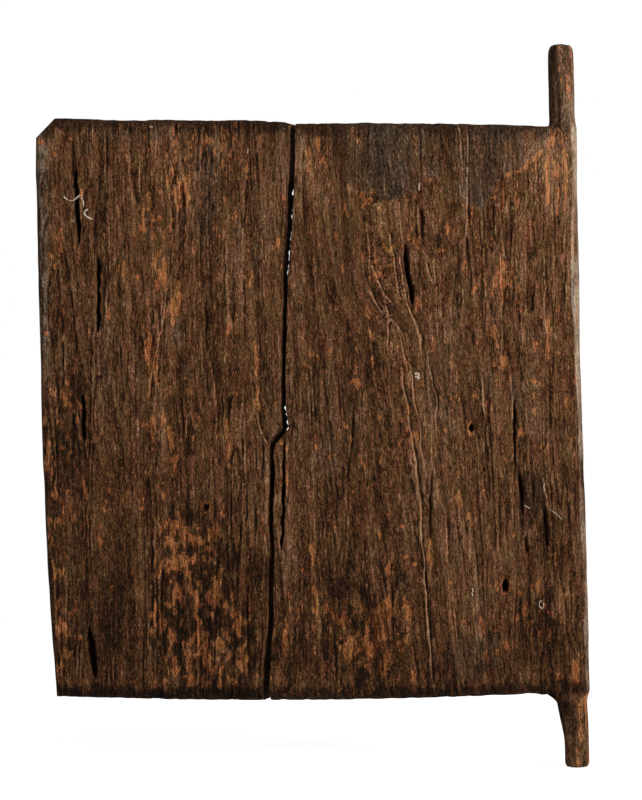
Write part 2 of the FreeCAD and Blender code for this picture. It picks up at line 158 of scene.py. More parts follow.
# Slits and cracks of the weathered face: their line in pixels of the photograph, then greatest
# width and depth in mm
SLITS = (
    (((75, 170), (76.5, 205), (79.5, 243)), 4.2, 10), (((97.5, 258), (98.6, 290), (98, 332)), 3.4, 9),
    (((83, 396), (83.5, 440)), 3.8, 9), (((89, 630), (91.5, 650), (95.5, 678)), 6.6, 11),
    (((404.5, 246), (407, 270), (412.5, 303)), 4.4, 11),
    (((104.5, 121), (106.5, 145), (107, 176)), 1.4, 2.4), (((72.5, 140), (73.5, 178)), 2.2, 2.2),
    (((176, 120), (175.5, 134)), 1.3, 2), (((418, 124), (420.5, 150), (421.5, 183)), 1.3, 2.4),
    (((420.5, 208), (423, 240)), 3.2, 3.4), (((333, 128), (333, 165)), 1.2, 1.6),
    (((354, 402), (352, 440), (347, 481)), 1.6, 2.4), (((111, 660), (112, 693)), 1.4, 2.4),
    (((514.6, 398), (514, 440), (515.5, 466)), 2.6, 4.4),
    (((518.5, 472), (521.5, 492), (523.5, 516)), 3.8, 5.5), (((532.5, 474), (534, 508)), 2.4, 2.6),
    (((545, 508), (547, 548)), 3.6, 3.4), (((525.5, 536), (527.5, 554)), 2.8, 3),
    (((206, 293), (206.5, 352)), 1.9, 2.2), (((175.5, 176), (177.5, 206)), 1.8, 2),
    (((182.6, 178), (183.4, 212)), 1.8, 2), (((238.5, 506), (240.5, 545)), 1.5, 1.8),
    (((144.2, 540), (144.6, 600), (143.6, 668)), 1.5, 1.6),
    (((432, 470), (430, 515), (430.5, 541)), 2.4, 2.8),
    (((549, 372), (549.5, 430), (551.5, 508), (554, 590)), 1.5, 1.6),
    (((457, 236), (459, 300)), 1.3, 1.4), (((318, 250), (317.5, 330)), 1.1, 1.2),
    (((231, 150), (230, 236)), 1.1, 1.2), (((391, 560), (394, 660)), 1.7, 2),
    (((456, 560), (458.5, 640)), 1.2, 1.4), (((304, 560), (302.5, 660)), 1.4, 1.6),
    (((399, 330), (405.5, 352), (409, 372)), 2, 1.6),
    (((424, 330), (424.5, 362), (425.5, 396)), 1.7, 1.6),
    (((162, 560), (161, 604), (163, 640)), 1.6, 1.6), (((217, 560), (216, 620), (214, 672)), 1.6, 1.6),
    (((248, 566), (247, 620), (249, 684)), 2, 2),
)
# Thin ridges with a groove on their right, coloured with a painted highlight on the ridge and
# painted shade in the groove: their line in pixels and their height in mm
RIDGES = (
    (((383, 296), (387, 310), (388, 326), (387, 350)), 0.5), (((369, 286), (373, 300), (380, 312),
    (392, 320), (399, 329), (402, 346), (405, 358), (411, 368)), 0.7),
    (((399, 250), (402, 276), (405, 298), (410, 314), (416, 326), (420, 338), (421, 352)), 0.6),
    (((401, 356), (402, 378), (407, 404), (409, 424), (413, 450), (418, 480), (420, 508), (420, 530),
    (424, 560), (426, 600), (430, 650), (434, 694)), 0.8),
    (((410, 368), (411, 388), (415, 408), (419, 426), (421, 444), (424, 466)), 0.6),
    (((482, 372), (484, 405), (485, 458)), 0.35), (((445, 510), (447, 538), (446, 566)), 0.35),
    (((543, 476), (545, 494), (549, 508)), 0.5), (((139, 146), (140, 174), (139, 198)), 0.45),
    (((427, 352), (431, 372), (436, 400), (437, 430)), 0.45),
    (((372, 262), (376, 280), (384, 294), (393, 305)), 0.55),
    (((388, 230), (392, 252), (396, 282), (400, 300)), 0.45), (((425, 262), (430, 276), (432, 284)), 0.6),
    (((168, 280), (164, 312), (158, 345), (150, 378), (148, 405)), 0.45),
    (((544, 250), (545, 300), (547, 352)), 0.4), (((170, 156), (172.5, 176), (168, 190)), 0.4),
    (((456, 120), (461, 150), (463, 172)), 0.4), (((466, 126), (468, 150), (467, 190), (465, 260)), 0.4),
    (((256, 410), (258, 424), (262, 434), (267, 446)), 0.4), (((208, 150), (207, 200), (209, 278)), 0.3),
    (((499, 240), (501, 300), (503, 380)), 0.35), (((365, 215), (368, 250), (370, 284)), 0.4),
    (((433, 250), (436, 290), (437, 340)), 0.3),
)
# Lighter and darker parts of the weathered face, broad and small: centre and reach in pixels,
# and change of tone
SHADES = (
    ((170, 225), (28, 85), 0.03), ((235, 300), (34, 150), 0.03), ((60, 156), (16, 22), -0.05),
    ((308, 160), (18, 28), 0.17), ((512, 150), (14, 16), 0.09), ((385, 212), (17, 22), 0.11),
    ((400, 320), (12, 66), 0.08), ((422, 440), (11, 88), 0.07), ((470, 590), (24, 66), 0.06),
    ((440, 196), (14, 46), 0.05), ((500, 340), (50, 100), -0.03), ((550, 168), (24, 42), 0.28),
    ((567, 255), (10, 95), 0.08), ((215, 655), (14, 18), 0.07), ((300, 510), (18, 46), 0.04),
    ((362, 640), (13, 22), 0.05), ((180, 560), (18, 26), 0.05), ((150, 200), (90, 90), 0.03),
    ((76, 190), (8, 56), -0.07), ((84, 420), (20, 130), -0.06), ((112, 470), (24, 90), -0.05),
    ((100, 620), (36, 80), -0.19), ((58, 470), (10, 60), -0.06), ((216, 540), (12, 24), -0.09),
    ((254, 590), (12, 48), -0.12), ((174, 620), (20, 30), -0.07), ((328, 240), (12, 56), -0.05),
    ((358, 400), (15, 84), -0.05), ((335, 560), (24, 36), -0.07), ((405, 662), (24, 22), -0.09),
    ((378, 620), (36, 56), -0.08), ((300, 660), (28, 28), -0.04), ((450, 670), (80, 24), -0.08),
    ((489, 160), (9, 22), -0.14), ((546, 612), (12, 38), -0.11), ((518, 662), (38, 20), -0.09),
    ((120, 560), (12, 56), -0.04), ((205, 300), (7, 28), -0.05), ((352, 392), (6, 7), -0.16),
    ((343, 437), (5, 6), -0.1), ((546, 528), (7, 18), -0.12), ((206, 506), (6, 7), -0.1),
    ((325, 588), (10, 16), -0.06), ((318, 620), (8, 14), -0.06), ((436, 560), (6, 24), -0.05),
    ((212, 196), (14, 40), -0.03), ((255, 355), (10, 64), 0.22), ((284, 335), (9, 40), 0.18),
    ((273, 490), (14, 70), 0.29), ((234, 440), (26, 20), 0.13), ((292, 200), (11, 30), 0.24),
    ((145, 305), (18, 16), 0.22), ((204, 270), (8, 30), 0.13), ((206, 156), (9, 12), 0.15),
    ((240, 150), (18, 11), 0.15), ((352, 212), (26, 24), 0.13), ((403, 350), (12, 44), 0.13),
    ((338, 188), (10, 16), 0.13), ((412, 202), (9, 8), 0.18), ((566, 262), (12, 32), 0.24),
    ((557, 545), (11, 60), 0.18), ((564, 620), (9, 20), 0.2), ((582, 678), (10, 24), 0.22),
    ((122, 520), (14, 16), 0.15), ((122, 480), (12, 70), 0.09), ((320, 540), (18, 20), 0.13),
    ((45, 216), (10, 14), 0.13), ((476, 450), (18, 30), 0.09), ((492, 216), (8, 16), 0.13),
    ((528, 200), (20, 22), 0.09), ((85, 380), (20, 46), -0.2), ((72, 560), (18, 60), -0.15),
    ((74, 648), (20, 20), -0.15), ((161, 470), (8, 24), -0.15), ((180, 520), (12, 10), -0.15),
    ((160, 565), (10, 10), -0.15), ((175, 660), (34, 22), -0.11), ((335, 460), (18, 56), -0.18),
    ((331, 262), (9, 30), -0.13), ((336, 370), (12, 40), -0.09), ((431, 385), (13, 28), -0.18),
    ((428, 470), (12, 14), -0.18), ((444, 515), (26, 34), -0.09), ((379, 620), (13, 20), -0.18),
    ((372, 562), (16, 14), -0.13), ((340, 615), (10, 14), -0.15), ((571, 164), (7, 30), -0.26),
    ((177, 232), (12, 30), -0.18), ((94, 190), (10, 50), -0.11), ((50, 160), (10, 16), -0.11),
    ((421, 236), (9, 16), -0.18), ((418, 172), (11, 12), -0.18), ((508, 320), (8, 40), -0.11),
    ((442, 310), (10, 24), -0.11), ((472, 672), (20, 12), -0.13), ((110, 162), (9, 32), 0.1),
    ((105, 265), (9, 11), 0.1), ((190, 338), (9, 22), 0.12), ((180, 370), (9, 14), 0.1),
    ((222, 402), (9, 16), 0.14), ((455, 236), (10, 13), 0.14), ((315, 402), (8, 22), 0.09),
    ((330, 642), (7, 10), 0.16), ((302, 646), (8, 9), 0.18), ((222, 668), (14, 12), 0.1),
    ((203, 565), (8, 14), 0.12), ((186, 610), (9, 16), 0.12), ((350, 590), (16, 8), 0.08),
    ((536, 606), (9, 12), 0.14), ((471, 640), (10, 8), 0.09), ((520, 412), (7, 22), 0.11),
    ((555, 490), (10, 12), 0.1), ((532, 470), (14, 12), 0.08), ((299, 480), (7, 24), 0.12),
    ((412, 430), (14, 16), 0.09), ((56, 134), (18, 9), 0.14), ((395, 502), (12, 40), -0.1),
    ((240, 590), (10, 22), -0.12), ((286, 590), (7, 22), -0.12), ((164, 638), (16, 30), -0.1),
    ((130, 275), (9, 9), -0.09), ((80, 205), (16, 24), -0.08), ((500, 372), (12, 26), -0.09),
    ((480, 400), (14, 12), -0.11), ((508, 456), (8, 14), -0.13), ((560, 430), (14, 16), -0.1),
    ((506, 580), (8, 24), -0.1), ((410, 590), (12, 12), -0.11), ((520, 622), (10, 12), -0.1),
    ((149, 352), (7, 10), -0.12), ((144, 422), (7, 14), -0.1), ((340, 672), (24, 12), -0.1),
    ((304, 600), (7, 12), -0.12), ((60, 230), (14, 20), -0.07),
)
# Violet-grey parts of the same face: centre, reach in pixels, and share
GREYS = (
    ((210, 168), (14, 34), 0.5), ((206, 214), (12, 30), 0.4), ((147, 221), (5, 14), 0.45),
    ((262, 240), (14, 40), 0.2), ((517, 398), (6, 14), 0.4), ((330, 420), (30, 60), 0.12),
    ((280, 400), (16, 60), 0.16), ((446, 420), (18, 26), 0.16), ((179, 333), (5, 12), 0.5),
    ((187, 372), (4, 10), 0.45), ((137, 372), (8, 30), 0.18), ((82, 150), (8, 8), 0.5),
    ((130, 132), (60, 7), 0.35),
)
# The blind crack behind the splinter: its line in pixels, width and depth in mm
SPLINTER_CRACK = (((284.2, 441), (283.6, 500), (281.4, 548)), 2.3, 15.0)
# Beetle holes and knocks: centre in pixels, then half width, half length and depth in mm
HOLES = (
    ((505.5, 586), 2.8, 5, 14), ((471.5, 428), 1.9, 3.3, 14), ((206, 507), 2.6, 3.4, 4),
    ((341, 643), 2, 2.4, 3), ((484, 469), 1.6, 1.8, 3),
)
# Where fresh orange wood shows through: centre, half width and half height in pixels
CHIPS = (
    ((178, 194), 2.6, 14), ((186, 190), 3.4, 16), ((168, 179), 3, 7), ((155, 236), 2.6, 7),
    ((160, 268), 4, 9), ((166, 277), 3, 12), ((194, 248), 4, 4), ((122, 264), 3, 6), ((59, 236), 2.4, 15),
    ((40, 141), 4.5, 4), ((148, 206), 3.2, 12), ((142, 222), 3, 14), ((174, 314), 3, 12),
    ((149, 339), 5, 5), ((52, 391), 2.6, 9), ((64, 392), 2.6, 9), ((152, 424), 3.4, 15),
    ((163, 418), 3, 13), ((171, 436), 3, 12), ((175, 460), 5, 5), ((257, 356), 2.2, 22),
    ((257, 396), 2, 16), ((228, 440), 2.4, 28), ((53, 466), 2.6, 7), ((55, 496), 2.6, 6),
    ((60, 514), 3, 6), ((60, 573), 2.4, 6), ((66, 624), 3, 8), ((79, 636), 3.6, 4), ((67, 652), 3, 5),
    ((206, 142), 5, 6), ((222, 146), 4, 6), ((357, 386), 5.5, 4.5), ((475, 289), 4, 6),
    ((346, 424), 4, 4), ((502, 280), 2.6, 22), ((502, 360), 2.4, 9), ((548, 342), 2.4, 28),
    ((536, 346), 3.6, 5), ((533, 383), 3.6, 4), ((468, 213), 3.6, 3), ((473, 437), 3.4, 4),
    ((521, 438), 4, 9), ((471, 523), 3.2, 6), ((459, 498), 3.6, 12), ((366, 639), 4.2, 14),
    ((407, 607), 3, 17), ((430, 554), 2.8, 11), ((350, 645), 4.8, 20), ((313, 547), 3, 8),
    ((283, 441), 3.4, 6), ((318, 140), 4, 9), ((323, 160), 4.5, 7), ((308, 158), 2.6, 14),
    ((352, 140), 4, 8), ((365, 196), 8, 4), ((348, 215), 3.6, 4), ((390, 246), 5, 4), ((418, 249), 3, 7),
    ((416, 300), 3.2, 7), ((268, 675), 4.5, 5), ((285, 640), 3, 26), ((316, 600), 3, 20),
    ((575, 670), 5, 16), ((415, 676), 3.6, 9), ((523, 610), 3, 12), ((548, 640), 3, 10),
    ((249, 600), 1.8, 34),
)
# Where such wood shows in many small flecks: centre and reach in pixels
LIVELY = (
    ((165, 225), (22, 95)), ((162, 420), (18, 80)), ((200, 140), (50, 12)), ((312, 152), (18, 26)),
    ((548, 180), (28, 50)), ((352, 640), (36, 56)), ((520, 620), (36, 60)), ((290, 610), (10, 80)),
    ((62, 500), (14, 160)), ((418, 220), (18, 40)), ((500, 290), (10, 90)), ((575, 690), (10, 40)),
)
# Long worn streaks of fresh wood: their line in pixels, width in mm and share
STREAKS = (
    (((503, 212), (503, 195), (504, 178)), 3, 0.75), (((504, 302), (502, 275), (501, 252)), 2.2, 0.75),
    (((505, 177), (510, 174), (520, 171), (525, 168)), 4.4, 1),
    (((526, 169), (528, 161), (532, 158), (538, 154), (541, 151)), 3.6, 1),
    (((548, 205), (547, 180), (549, 150), (551, 138), (555, 133)), 3.4, 0.95),
    (((566, 214), (565, 180), (563, 155), (562, 142), (558, 134)), 3.2, 0.85),
    (((517, 210), (518, 178)), 3.2, 0.6), (((536, 176), (538, 150), (537, 138)), 2.4, 0.55),
    (((557, 216), (558, 184)), 2.4, 0.7), (((545, 240), (546, 212)), 2.2, 0.45),
    (((463, 204), (462, 180), (465, 152)), 2.2, 0.55), (((469, 190), (470, 152), (471, 136)), 1.8, 0.45),
    (((229, 178), (230, 160), (233, 140)), 2.2, 0.6), (((246, 182), (248, 154)), 2.2, 0.6),
    (((154, 238), (153, 220), (153, 204)), 2, 0.6), (((178, 208), (178, 178)), 3.4, 1),
    (((186, 209), (186, 176)), 5.6, 1), (((171, 184), (168, 174)), 3.4, 0.8),
    (((166, 290), (165, 276), (164, 262)), 3.8, 0.8), (((251, 290), (251, 268)), 3.2, 0.6),
    (((168, 300), (165, 320), (160, 345)), 2, 0.6), (((153, 372), (150, 388), (148, 405)), 2.4, 0.6),
    (((236, 336), (235, 310), (235, 290)), 2.4, 0.6), (((62, 254), (62, 236)), 2.4, 0.7),
    (((430, 190), (432, 172)), 3, 0.5), (((419, 256), (418, 226)), 2, 0.6),
    (((549, 350), (548, 334), (549, 318)), 3, 0.7), (((523, 300), (522, 255)), 1.6, 0.4),
    (((62, 172), (61, 150)), 1.6, 0.5), (((290, 260), (287, 200), (287, 140)), 2, 0.3),
    (((145, 172), (148, 145)), 3.4, 0.45), (((156, 170), (154, 140)), 2.2, 0.5),
    (((126, 168), (127, 146)), 2.6, 0.45), (((176, 165), (176, 136)), 4.6, 0.55),
)
# The sharp ridge in the wide plank that the grain swings round, in pixels
SWIRL_RIDGE = (
    (364, 110), (363, 190), (364, 240), (367, 277), (371, 299), (388, 311), (400, 330), (404, 358),
    (402, 391), (408, 420), (413, 482), (420, 530), (425, 573), (426, 624), (433, 667), (436, 720),
)
# Lower edge of the dark layer that is left at the top of the wide plank, in pixels
CRUST_EDGE = (
    (326, 142), (334, 160), (343, 172), (352, 188), (362, 192), (378, 189), (380, 200), (399, 200),
    (402, 196), (415, 193), (419, 186), (424, 180), (434, 174), (441, 176), (446, 196), (460, 200),
    (475, 208), (481, 206), (490, 196), (500, 180), (505, 174), (521, 168), (527, 160), (538, 153),
    (545, 142), (550, 131),
)
# How thick the soot lies in it: place across in mm, then share
CRUST_SOOT = ((-225, 0.25), (-200, 0.3), (-184, 0.5), (-172, 0.8), (-140, 0.85), (-130, 0.4),
              (-100, 0.3), (-84, 0.7), (-70, 0.85), (-58, 0.5), (-30, 0.2))
# The mottled parts of the narrow plank: centre and reach in pixels
MOTTLES = (((192, 600), (44, 88)), ((224, 648), (44, 46)))
# Where dark and fresh blotches lie among sound wood: centre and reach in pixels
BLOTCHED = (
    ((352, 630), (62, 60)), ((545, 570), (26, 80)), ((165, 330), (24, 70)), ((505, 640), (40, 30)),
)
# Shallow patches where a slab of wood has gone: top left and bottom right corners in pixels
GREY_PATCH = ((447, 640), (500, 669))
BLACK_PATCH = ((517, 472), (546, 512))
# Knots that the grain parts round: centre in pixels, reach across in mm, and how far it parts
KNOTS = (((149, 339), 9.0, 0.55), ((505, 586), 7.0, 0.4), ((357, 386), 7.0, 0.4))
KNOT_LENGTH = 2.4  # a knot's reach along the grain over its reach across

# Where parts of the leaf change, in mm: the place where the change starts and where it is full
TOP_BAND = (13.5, 8.5)  # below the top edge
SMOKY_BAND = (20.0, 8.0)  # below the top edge
FOOT_BAND = (13.0, 9.0)  # above the bottom edge
NARROW_PLANK = (-262.0, -276.0)  # across
GREY_STRIP = (11.5, 7.0)  # in from the free edge
GREY_STRIP_FOOT = (300.0, 380.0)  # height
FLAKED_STRIP = (14.0, 5.0)  # in from the free edge
FLAKED_STRIP_TOP = (335.0, 305.0)  # height
FLAKED_STRIP_FOOT = (60.0, 90.0)  # height
ROOT_LEFT = (-46.0, -14.0)  # across: the worn root of the upper pivot
ROOT_RIGHT = (13.0, 2.0)  # across
ROOT_FOOT = (462.0, 500.0)  # height
UPPER_PIVOT_START = (538.0, 544.0)  # height
LOWER_PIVOT_START = (50.0, 44.0)  # height, going down
PIVOT_ACROSS = (-14.0, -10.0)
FLAKING_TOP = (478.0, 455.0)  # height: pale flakes along the hinge edge
FLAKING_FOOT = (372.0, 390.0)  # height
# The hinge edge's lighter strip is partly grey wood and partly painted highlight; below here it is dimmed
DULLER_BELOW = (425.0, 390.0)  # height: the hinge edge's light strip gets darker
SWIRL_MIDDLE = 210.0  # height: the middle of the sharp part of the swirl ridge
SWIRL_ENDS = (262.0, 236.0)  # above and below that middle
SWIRL_TOP = (398.0, 380.0)  # height
DARKER_FOOT = (300.0, 180.0)  # height, on the narrow plank
BY_JOINT = (34.0, 6.0)  # to both sides of a line 12 mm right of the joint's left side
BY_JOINT_TOP = (230.0, 130.0)  # height
HIDDEN_TOP_BAND = (16.0, 4.0)  # below the top edge of the hidden face
HIDDEN_FOOT_BAND = (14.0, 5.0)  # above its bottom edge
GREY_FREE_EDGE = (-440.0, -452.0)  # across
CHIPPED_TOP = (50.0, 40.0)  # height: chips and lumps on the lower pivot
CHIPPED_FOOT = (-10.0, 2.0)  # height
# The same strip's painted highlight is stronger above this height
LIGHTER_ABOVE = (240.0, 340.0)  # height: the hinge edge's light strip gets lighter

# Other distances, in mm
ABOVE_LEAF = 700.0  # a height that no part of the leaf reaches
CRUST_REACH = 6.0  # distance from the dark layer's edge at which nothing more changes
NO_RIDGE = 9.0  # distance that stands for no thin ridge near

# How much of a normal points out of a face: up to the first it is edge, from the second it is face
FACING = (0.30, 0.88)

# The adze's strokes on the hidden face, in mm: steps and half sizes across and up
STROKE_STEPS = (31.0, 46.0)
STROKE_SIZES = (15.0, 30.0)

# Strands and bits of husk caught on the face, in pixels, and their radius in mm
STRANDS = (
    (((63.8, 195.5), (65, 198), (72, 200.6), (78.5, 196), (80.4, 195.6), (81.6, 198.5), (83, 202),
    (83.2, 207.6)), 0.52), (((82.4, 186.5), (81.4, 190), (80.6, 195.4)), 0.36),
    (((88, 208.9), (84.4, 211.6), (84.6, 214.4), (87.5, 217.2), (92.5, 219.4)), 0.66),
    (((471.6, 588), (473.2, 590.4), (471.8, 593), (473, 596.6)), 0.36),
    (((542, 600.2), (539.4, 602.4), (539.6, 606.6), (542, 608.4), (543.6, 605), (543, 602)), 0.3),
    (((544.6, 483), (543.6, 486.6), (544.4, 490.6)), 0.36),
    (((524, 505.4), (527, 506.8), (530.2, 508.6)), 0.3), (((548, 508), (555, 513), (562.4, 520)), 0.2),
    (((419.4, 183), (418.8, 187), (419.4, 190.6)), 0.42),
    (((247.4, 149), (247.7, 151), (247.3, 153.4)), 0.4),
    (((149.6, 127.4), (151, 126.6), (152.6, 127)), 0.42), (((73, 219), (73.4, 220.6), (72.8, 222)), 0.3),
    (((414.6, 374.8), (416.2, 373.2), (418.4, 374.4), (418.6, 377.6), (416.8, 379.4)), 0.8),
    (((414.8, 376.2), (416.2, 377.2), (417, 376), (416.4, 378)), 0.7),
)

# Staples: name and tilt in degrees, as in the solids, then sizes in mm
STAPLES = (("upper_staple", 4.0), ("middle_staple", -3.0), ("lower_staple", 5.0))
STAPLE_SPAN = 62.0
STAPLE_THICKNESS = 3.8
STAPLE_WIDTH = 9.0
STAPLE_END_WIDTH = 6.4
STAPLE_POINT = 1.2
STAPLE_BEND = 2.2


def linear(code):
    """The linear colour, with alpha, of an sRGB hex code such as #4d3626."""
    parts = [int(code[i:i + 2], 16) / 255 for i in (1, 3, 5)]
    return (*[c / 12.92 if c <= 0.04045 else ((c + 0.055) / 1.055) ** 2.4 for c in parts], 1.0)


def smooth(low, high, value):
    """Nought at low, one at high, and a smooth S between them: 3t squared less 2t cubed."""
    t = np.clip((value - low) / (high - low), 0.0, 1.0)
    return t * t * (3 - 2 * t)


def at_outline(px, py):
    """The place in the outline's plane, x and z in mm, of a pixel: scaled, and turned by the lean."""
    right = np.asarray(px, float) - SOCKET_MOUTH_PIXEL[0]
    up = SOCKET_MOUTH_PIXEL[1] - np.asarray(py, float)
    return PIXEL * (right + LEAN * up), PIXEL * (up - LEAN * right)


def camera_distance():
    """Distance in mm from the lens to the outline's plane that frames the photograph's height."""
    return LENS / SENSOR * PICTURE_HEIGHT * PIXEL * math.hypot(1, LEAN)


def from_pixels(px, py):
    """The place on the face, x and z in mm, of a pixel. The face is nearer to the lens than the
    outline's plane, so places on it lie closer to the picture's middle in proportion."""
    nearer = 1 - (OUTLINE_PLANE + half_thickness(-200.0)) / camera_distance()
    middle = at_outline(PICTURE_WIDTH / 2, PICTURE_HEIGHT / 2)
    place = at_outline(px, py)
    return middle[0] + (place[0] - middle[0]) * nearer, middle[1] + (place[1] - middle[1]) * nearer


def chart_points():
    """The x and z of every point of the chart, as two grids with one row to a height."""
    x = np.arange(CHART_LOW[0], CHART_HIGH[0], CHART_STEP[0])
    z = np.arange(CHART_LOW[1], CHART_HIGH[1], CHART_STEP[1])
    return np.meshgrid(x, z)


def blurred(chart, across, along):
    """The chart blurred by a Gaussian of these standard widths in mm, through its spectrum."""
    rows, columns = chart.shape
    fx = np.fft.rfftfreq(columns, CHART_STEP[0])
    fz = np.fft.fftfreq(rows, CHART_STEP[1])[:, None]
    bell = np.exp(-2 * math.pi ** 2 * ((fx * across) ** 2 + (fz * along) ** 2))
    return np.fft.irfft2(np.fft.rfft2(chart) * bell, s=chart.shape)


def grain_noise(seed, across, along):
    """White noise blurred across and along the grain, with a mean of nought and a spread of one."""
    x, _ = chart_points()
    field = blurred(np.random.default_rng(seed).standard_normal(x.shape), across, along)
    return (field - field.mean()) / field.std()


def read(chart, x, z):
    """The chart's value at any x and z, between its four nearest points in proportion."""
    rows, columns = chart.shape
    u = np.clip((x - CHART_LOW[0]) / CHART_STEP[0], 0, columns - 1.001)
    v = np.clip((z - CHART_LOW[1]) / CHART_STEP[1], 0, rows - 1.001)
    i, j = u.astype(int), v.astype(int)
    u, v = u - i, v - j
    low = chart[j, i] * (1 - u) + chart[j, i + 1] * u
    high = chart[j + 1, i] * (1 - u) + chart[j + 1, i + 1] * u
    return low * (1 - v) + high * v


def half_thickness(x):
    """Half the leaf's thickness, which tapers evenly to the free edge."""
    taper = STILE_THICKNESS - FREE_EDGE_THICKNESS
    return (STILE_THICKNESS + taper * x / LEAF_REACH) / 2


def bow(value, start, end, height):
    """Height of a shallow bow over a span: a parabola, nought at both ends."""
    t = np.clip((value - start) / (end - start), 0.0, 1.0)
    return 4 * height * t * (1 - t)


def stray(table, place):
    """Offset of an edge from its line at a place along it."""
    return np.interp(place, *np.array(table, float).T)


def top_edge(x):
    """Height of the top edge: a bowed line, cut off by the slanting corner."""
    t = (x - STILE_EDGE) / (TOP_CORNER[0] - STILE_EDGE)
    line = TOP_AT_STILE + (TOP_AT_FREE_EDGE - TOP_AT_STILE) * t + bow(x, STILE_EDGE, TOP_CORNER[0], TOP_BOW)
    return np.minimum(line + stray(TOP_STRAY, x), CUT_CORNER[1] + (x - CUT_CORNER[0]) + 1.0)


def bottom_edge(x):
    """Height of the bottom edge: a line that bows downwards."""
    t = (x - STILE_EDGE) / (FREE_EDGE_FOOT - STILE_EDGE)
    rise = (FOOT_AT_FREE_EDGE - FOOT_AT_STILE) * t
    return FOOT_AT_STILE + rise - bow(x, STILE_EDGE, FREE_EDGE_FOOT, BOTTOM_BOW)


def free_edge(z):
    """Distance across of the free edge: a leaning line that bows outwards."""
    t = (z - FOOT_AT_FREE_EDGE) / (CUT_CORNER[1] - FOOT_AT_FREE_EDGE)
    lean = (CUT_CORNER[0] - FREE_EDGE_FOOT) * t
    line = FREE_EDGE_FOOT + lean - bow(z, FOOT_AT_FREE_EDGE, CUT_CORNER[1], FREE_EDGE_BOW)
    return np.maximum(line - stray(FREE_EDGE_STRAY, z), -LEAF_REACH - 0.9)


def along_height(table, column, z):
    """A column of a table whose rows start with a height, read between its rows."""
    rows = np.array(sorted(table))
    return np.interp(z, rows[:, 0], rows[:, column])


def joint_left(z, depth_share):
    """The narrow plank's side of the joint, which drifts with depth and is torn by two sines."""
    torn = 0.6 * np.sin(z + 1.3 * np.sin(z / 17)) + 0.5 * np.sin(z / 2.7)
    return along_height(JOINT_LINE, 1, z) + (along_height(JOINT_SLANT, 1, z) + torn) * depth_share


def joint_right(z, depth_share):
    """The wide plank's side of the joint: the left side, the gap's width and its own drift."""
    face = along_height(JOINT_LINE, 1, z) + along_height(JOINT_LINE, 2, z)
    return face + along_height(JOINT_SLANT, 2, z) * depth_share


def swirl_x(z):
    """Distance across of the swirl ridge at a height, its corners eased by a short average."""
    px, py = np.array(SWIRL_RIDGE, float).T
    x_of, z_of = from_pixels(px, py)
    order = np.argsort(z_of)
    reach = 9.0
    shifts = np.linspace(-reach, reach, 5)
    return sum(np.interp(z + s, z_of[order], x_of[order]) for s in shifts) / len(shifts)


def grain_lines(x, z):
    """The coordinate across the grain, which is the same all along a fibre.

    It is x, less the swirl ridge's lean and its stray from a straight line, each times a bell
    round the ridge, and less a share of the distance to each knot, times a bell round it."""
    line = swirl_x(z)
    away = x - line
    px, py = np.array((SWIRL_RIDGE[0], SWIRL_RIDGE[-1]), float).T
    end_x, end_z = from_pixels(px, py)
    lean = (end_x[1] - end_x[0]) / (end_z[1] - end_z[0])
    straight = end_x[0] + lean * (z - end_z[0])
    bent = x - lean * (z - 300.0) * np.exp(-((away / 75.0) ** 2))
    bent -= (line - straight) * np.exp(-((away / 20.0) ** 2))
    for centre, reach, swell in KNOTS:
        kx, kz = from_pixels(*centre)
        near = np.exp(-(((x - kx) / reach) ** 2) - ((z - kz) / (KNOT_LENGTH * reach)) ** 2)
        bent -= swell * (x - kx) * near
    return bent


def line_at(line, z):
    """How far across a line of pixels runs at each height, and the share from its foot to top."""
    px, py = np.array(line, float).T
    x_of, z_of = from_pixels(px, py)
    order = np.argsort(z_of)
    share = (z - z_of.min()) / (z_of.max() - z_of.min())
    return np.interp(z, z_of[order], x_of[order]), share


def cut_along(x, z, line, width):
    """How deep in a spindle-shaped cut each point is, nought to one: a rounded V across,
    whose width follows half an ellipse from end to end."""
    middle, share = line_at(line, z)
    half = width / 2 * np.sqrt(np.clip(1 - (2 * share - 1) ** 2, 0.0, 1.0)) + 1e-6
    return np.clip(1 - ((x - middle) / half) ** 2, 0.0, 1.0) ** 0.6


def in_zone(x, z, centre, reach):
    """Nearness to a pixel's place, from one there to nought far off: a bell over its oval."""
    cx, cz = from_pixels(*centre)
    return np.exp(-((x - cx) / (reach[0] * PIXEL)) ** 2 - ((z - cz) / (reach[1] * PIXEL)) ** 2)


def in_any_zone(x, z, zones):
    """Nearness to the nearest of several ovals: the greatest of their bells."""
    return np.maximum.reduce([in_zone(x, z, centre, reach) for centre, reach in zones])


def oval_at(x, z, centre, reach_x, reach_z):
    """Distance from a pixel's place, one on an oval of these half widths in mm."""
    cx, cz = from_pixels(*centre)
    return np.hypot((x - cx) / reach_x, (z - cz) / reach_z)


def in_box(x, z, top_left, bottom_right):
    """One inside a box given by two pixels, nought outside, over a soft edge 2 mm wide."""
    corner_x, corner_z = from_pixels(*np.array((top_left, bottom_right), float).T)
    across = smooth(-1, 1, x - corner_x[0]) * smooth(1, -1, x - corner_x[1])
    return across * smooth(1, -1, z - corner_z[0]) * smooth(-1, 1, z - corner_z[1])


def above_crust_edge(x, z):
    """Distance in mm up from the lower edge of the dark layer: the height over it, less where
    the edge is steep, cut off at the crust's reach."""
    px, py = np.array(CRUST_EDGE, float).T
    x_of, z_of = from_pixels(px, py)
    edge = np.interp(x, x_of, z_of, left=ABOVE_LEAF, right=ABOVE_LEAF)
    slope = np.clip(np.gradient(edge, CHART_STEP[0], axis=1), -3.0, 3.0)
    return np.clip((z - edge) / np.hypot(1, slope), -CRUST_REACH, CRUST_REACH)


def mottle_mask(x, z):
    """One in the mottled parts of the narrow plank, falling away round them."""
    spots = [oval_at(x, z, centre, reach[0] * PIXEL, reach[1] * PIXEL) for centre, reach in MOTTLES]
    return smooth(1.25, 0.7, np.minimum(*spots))


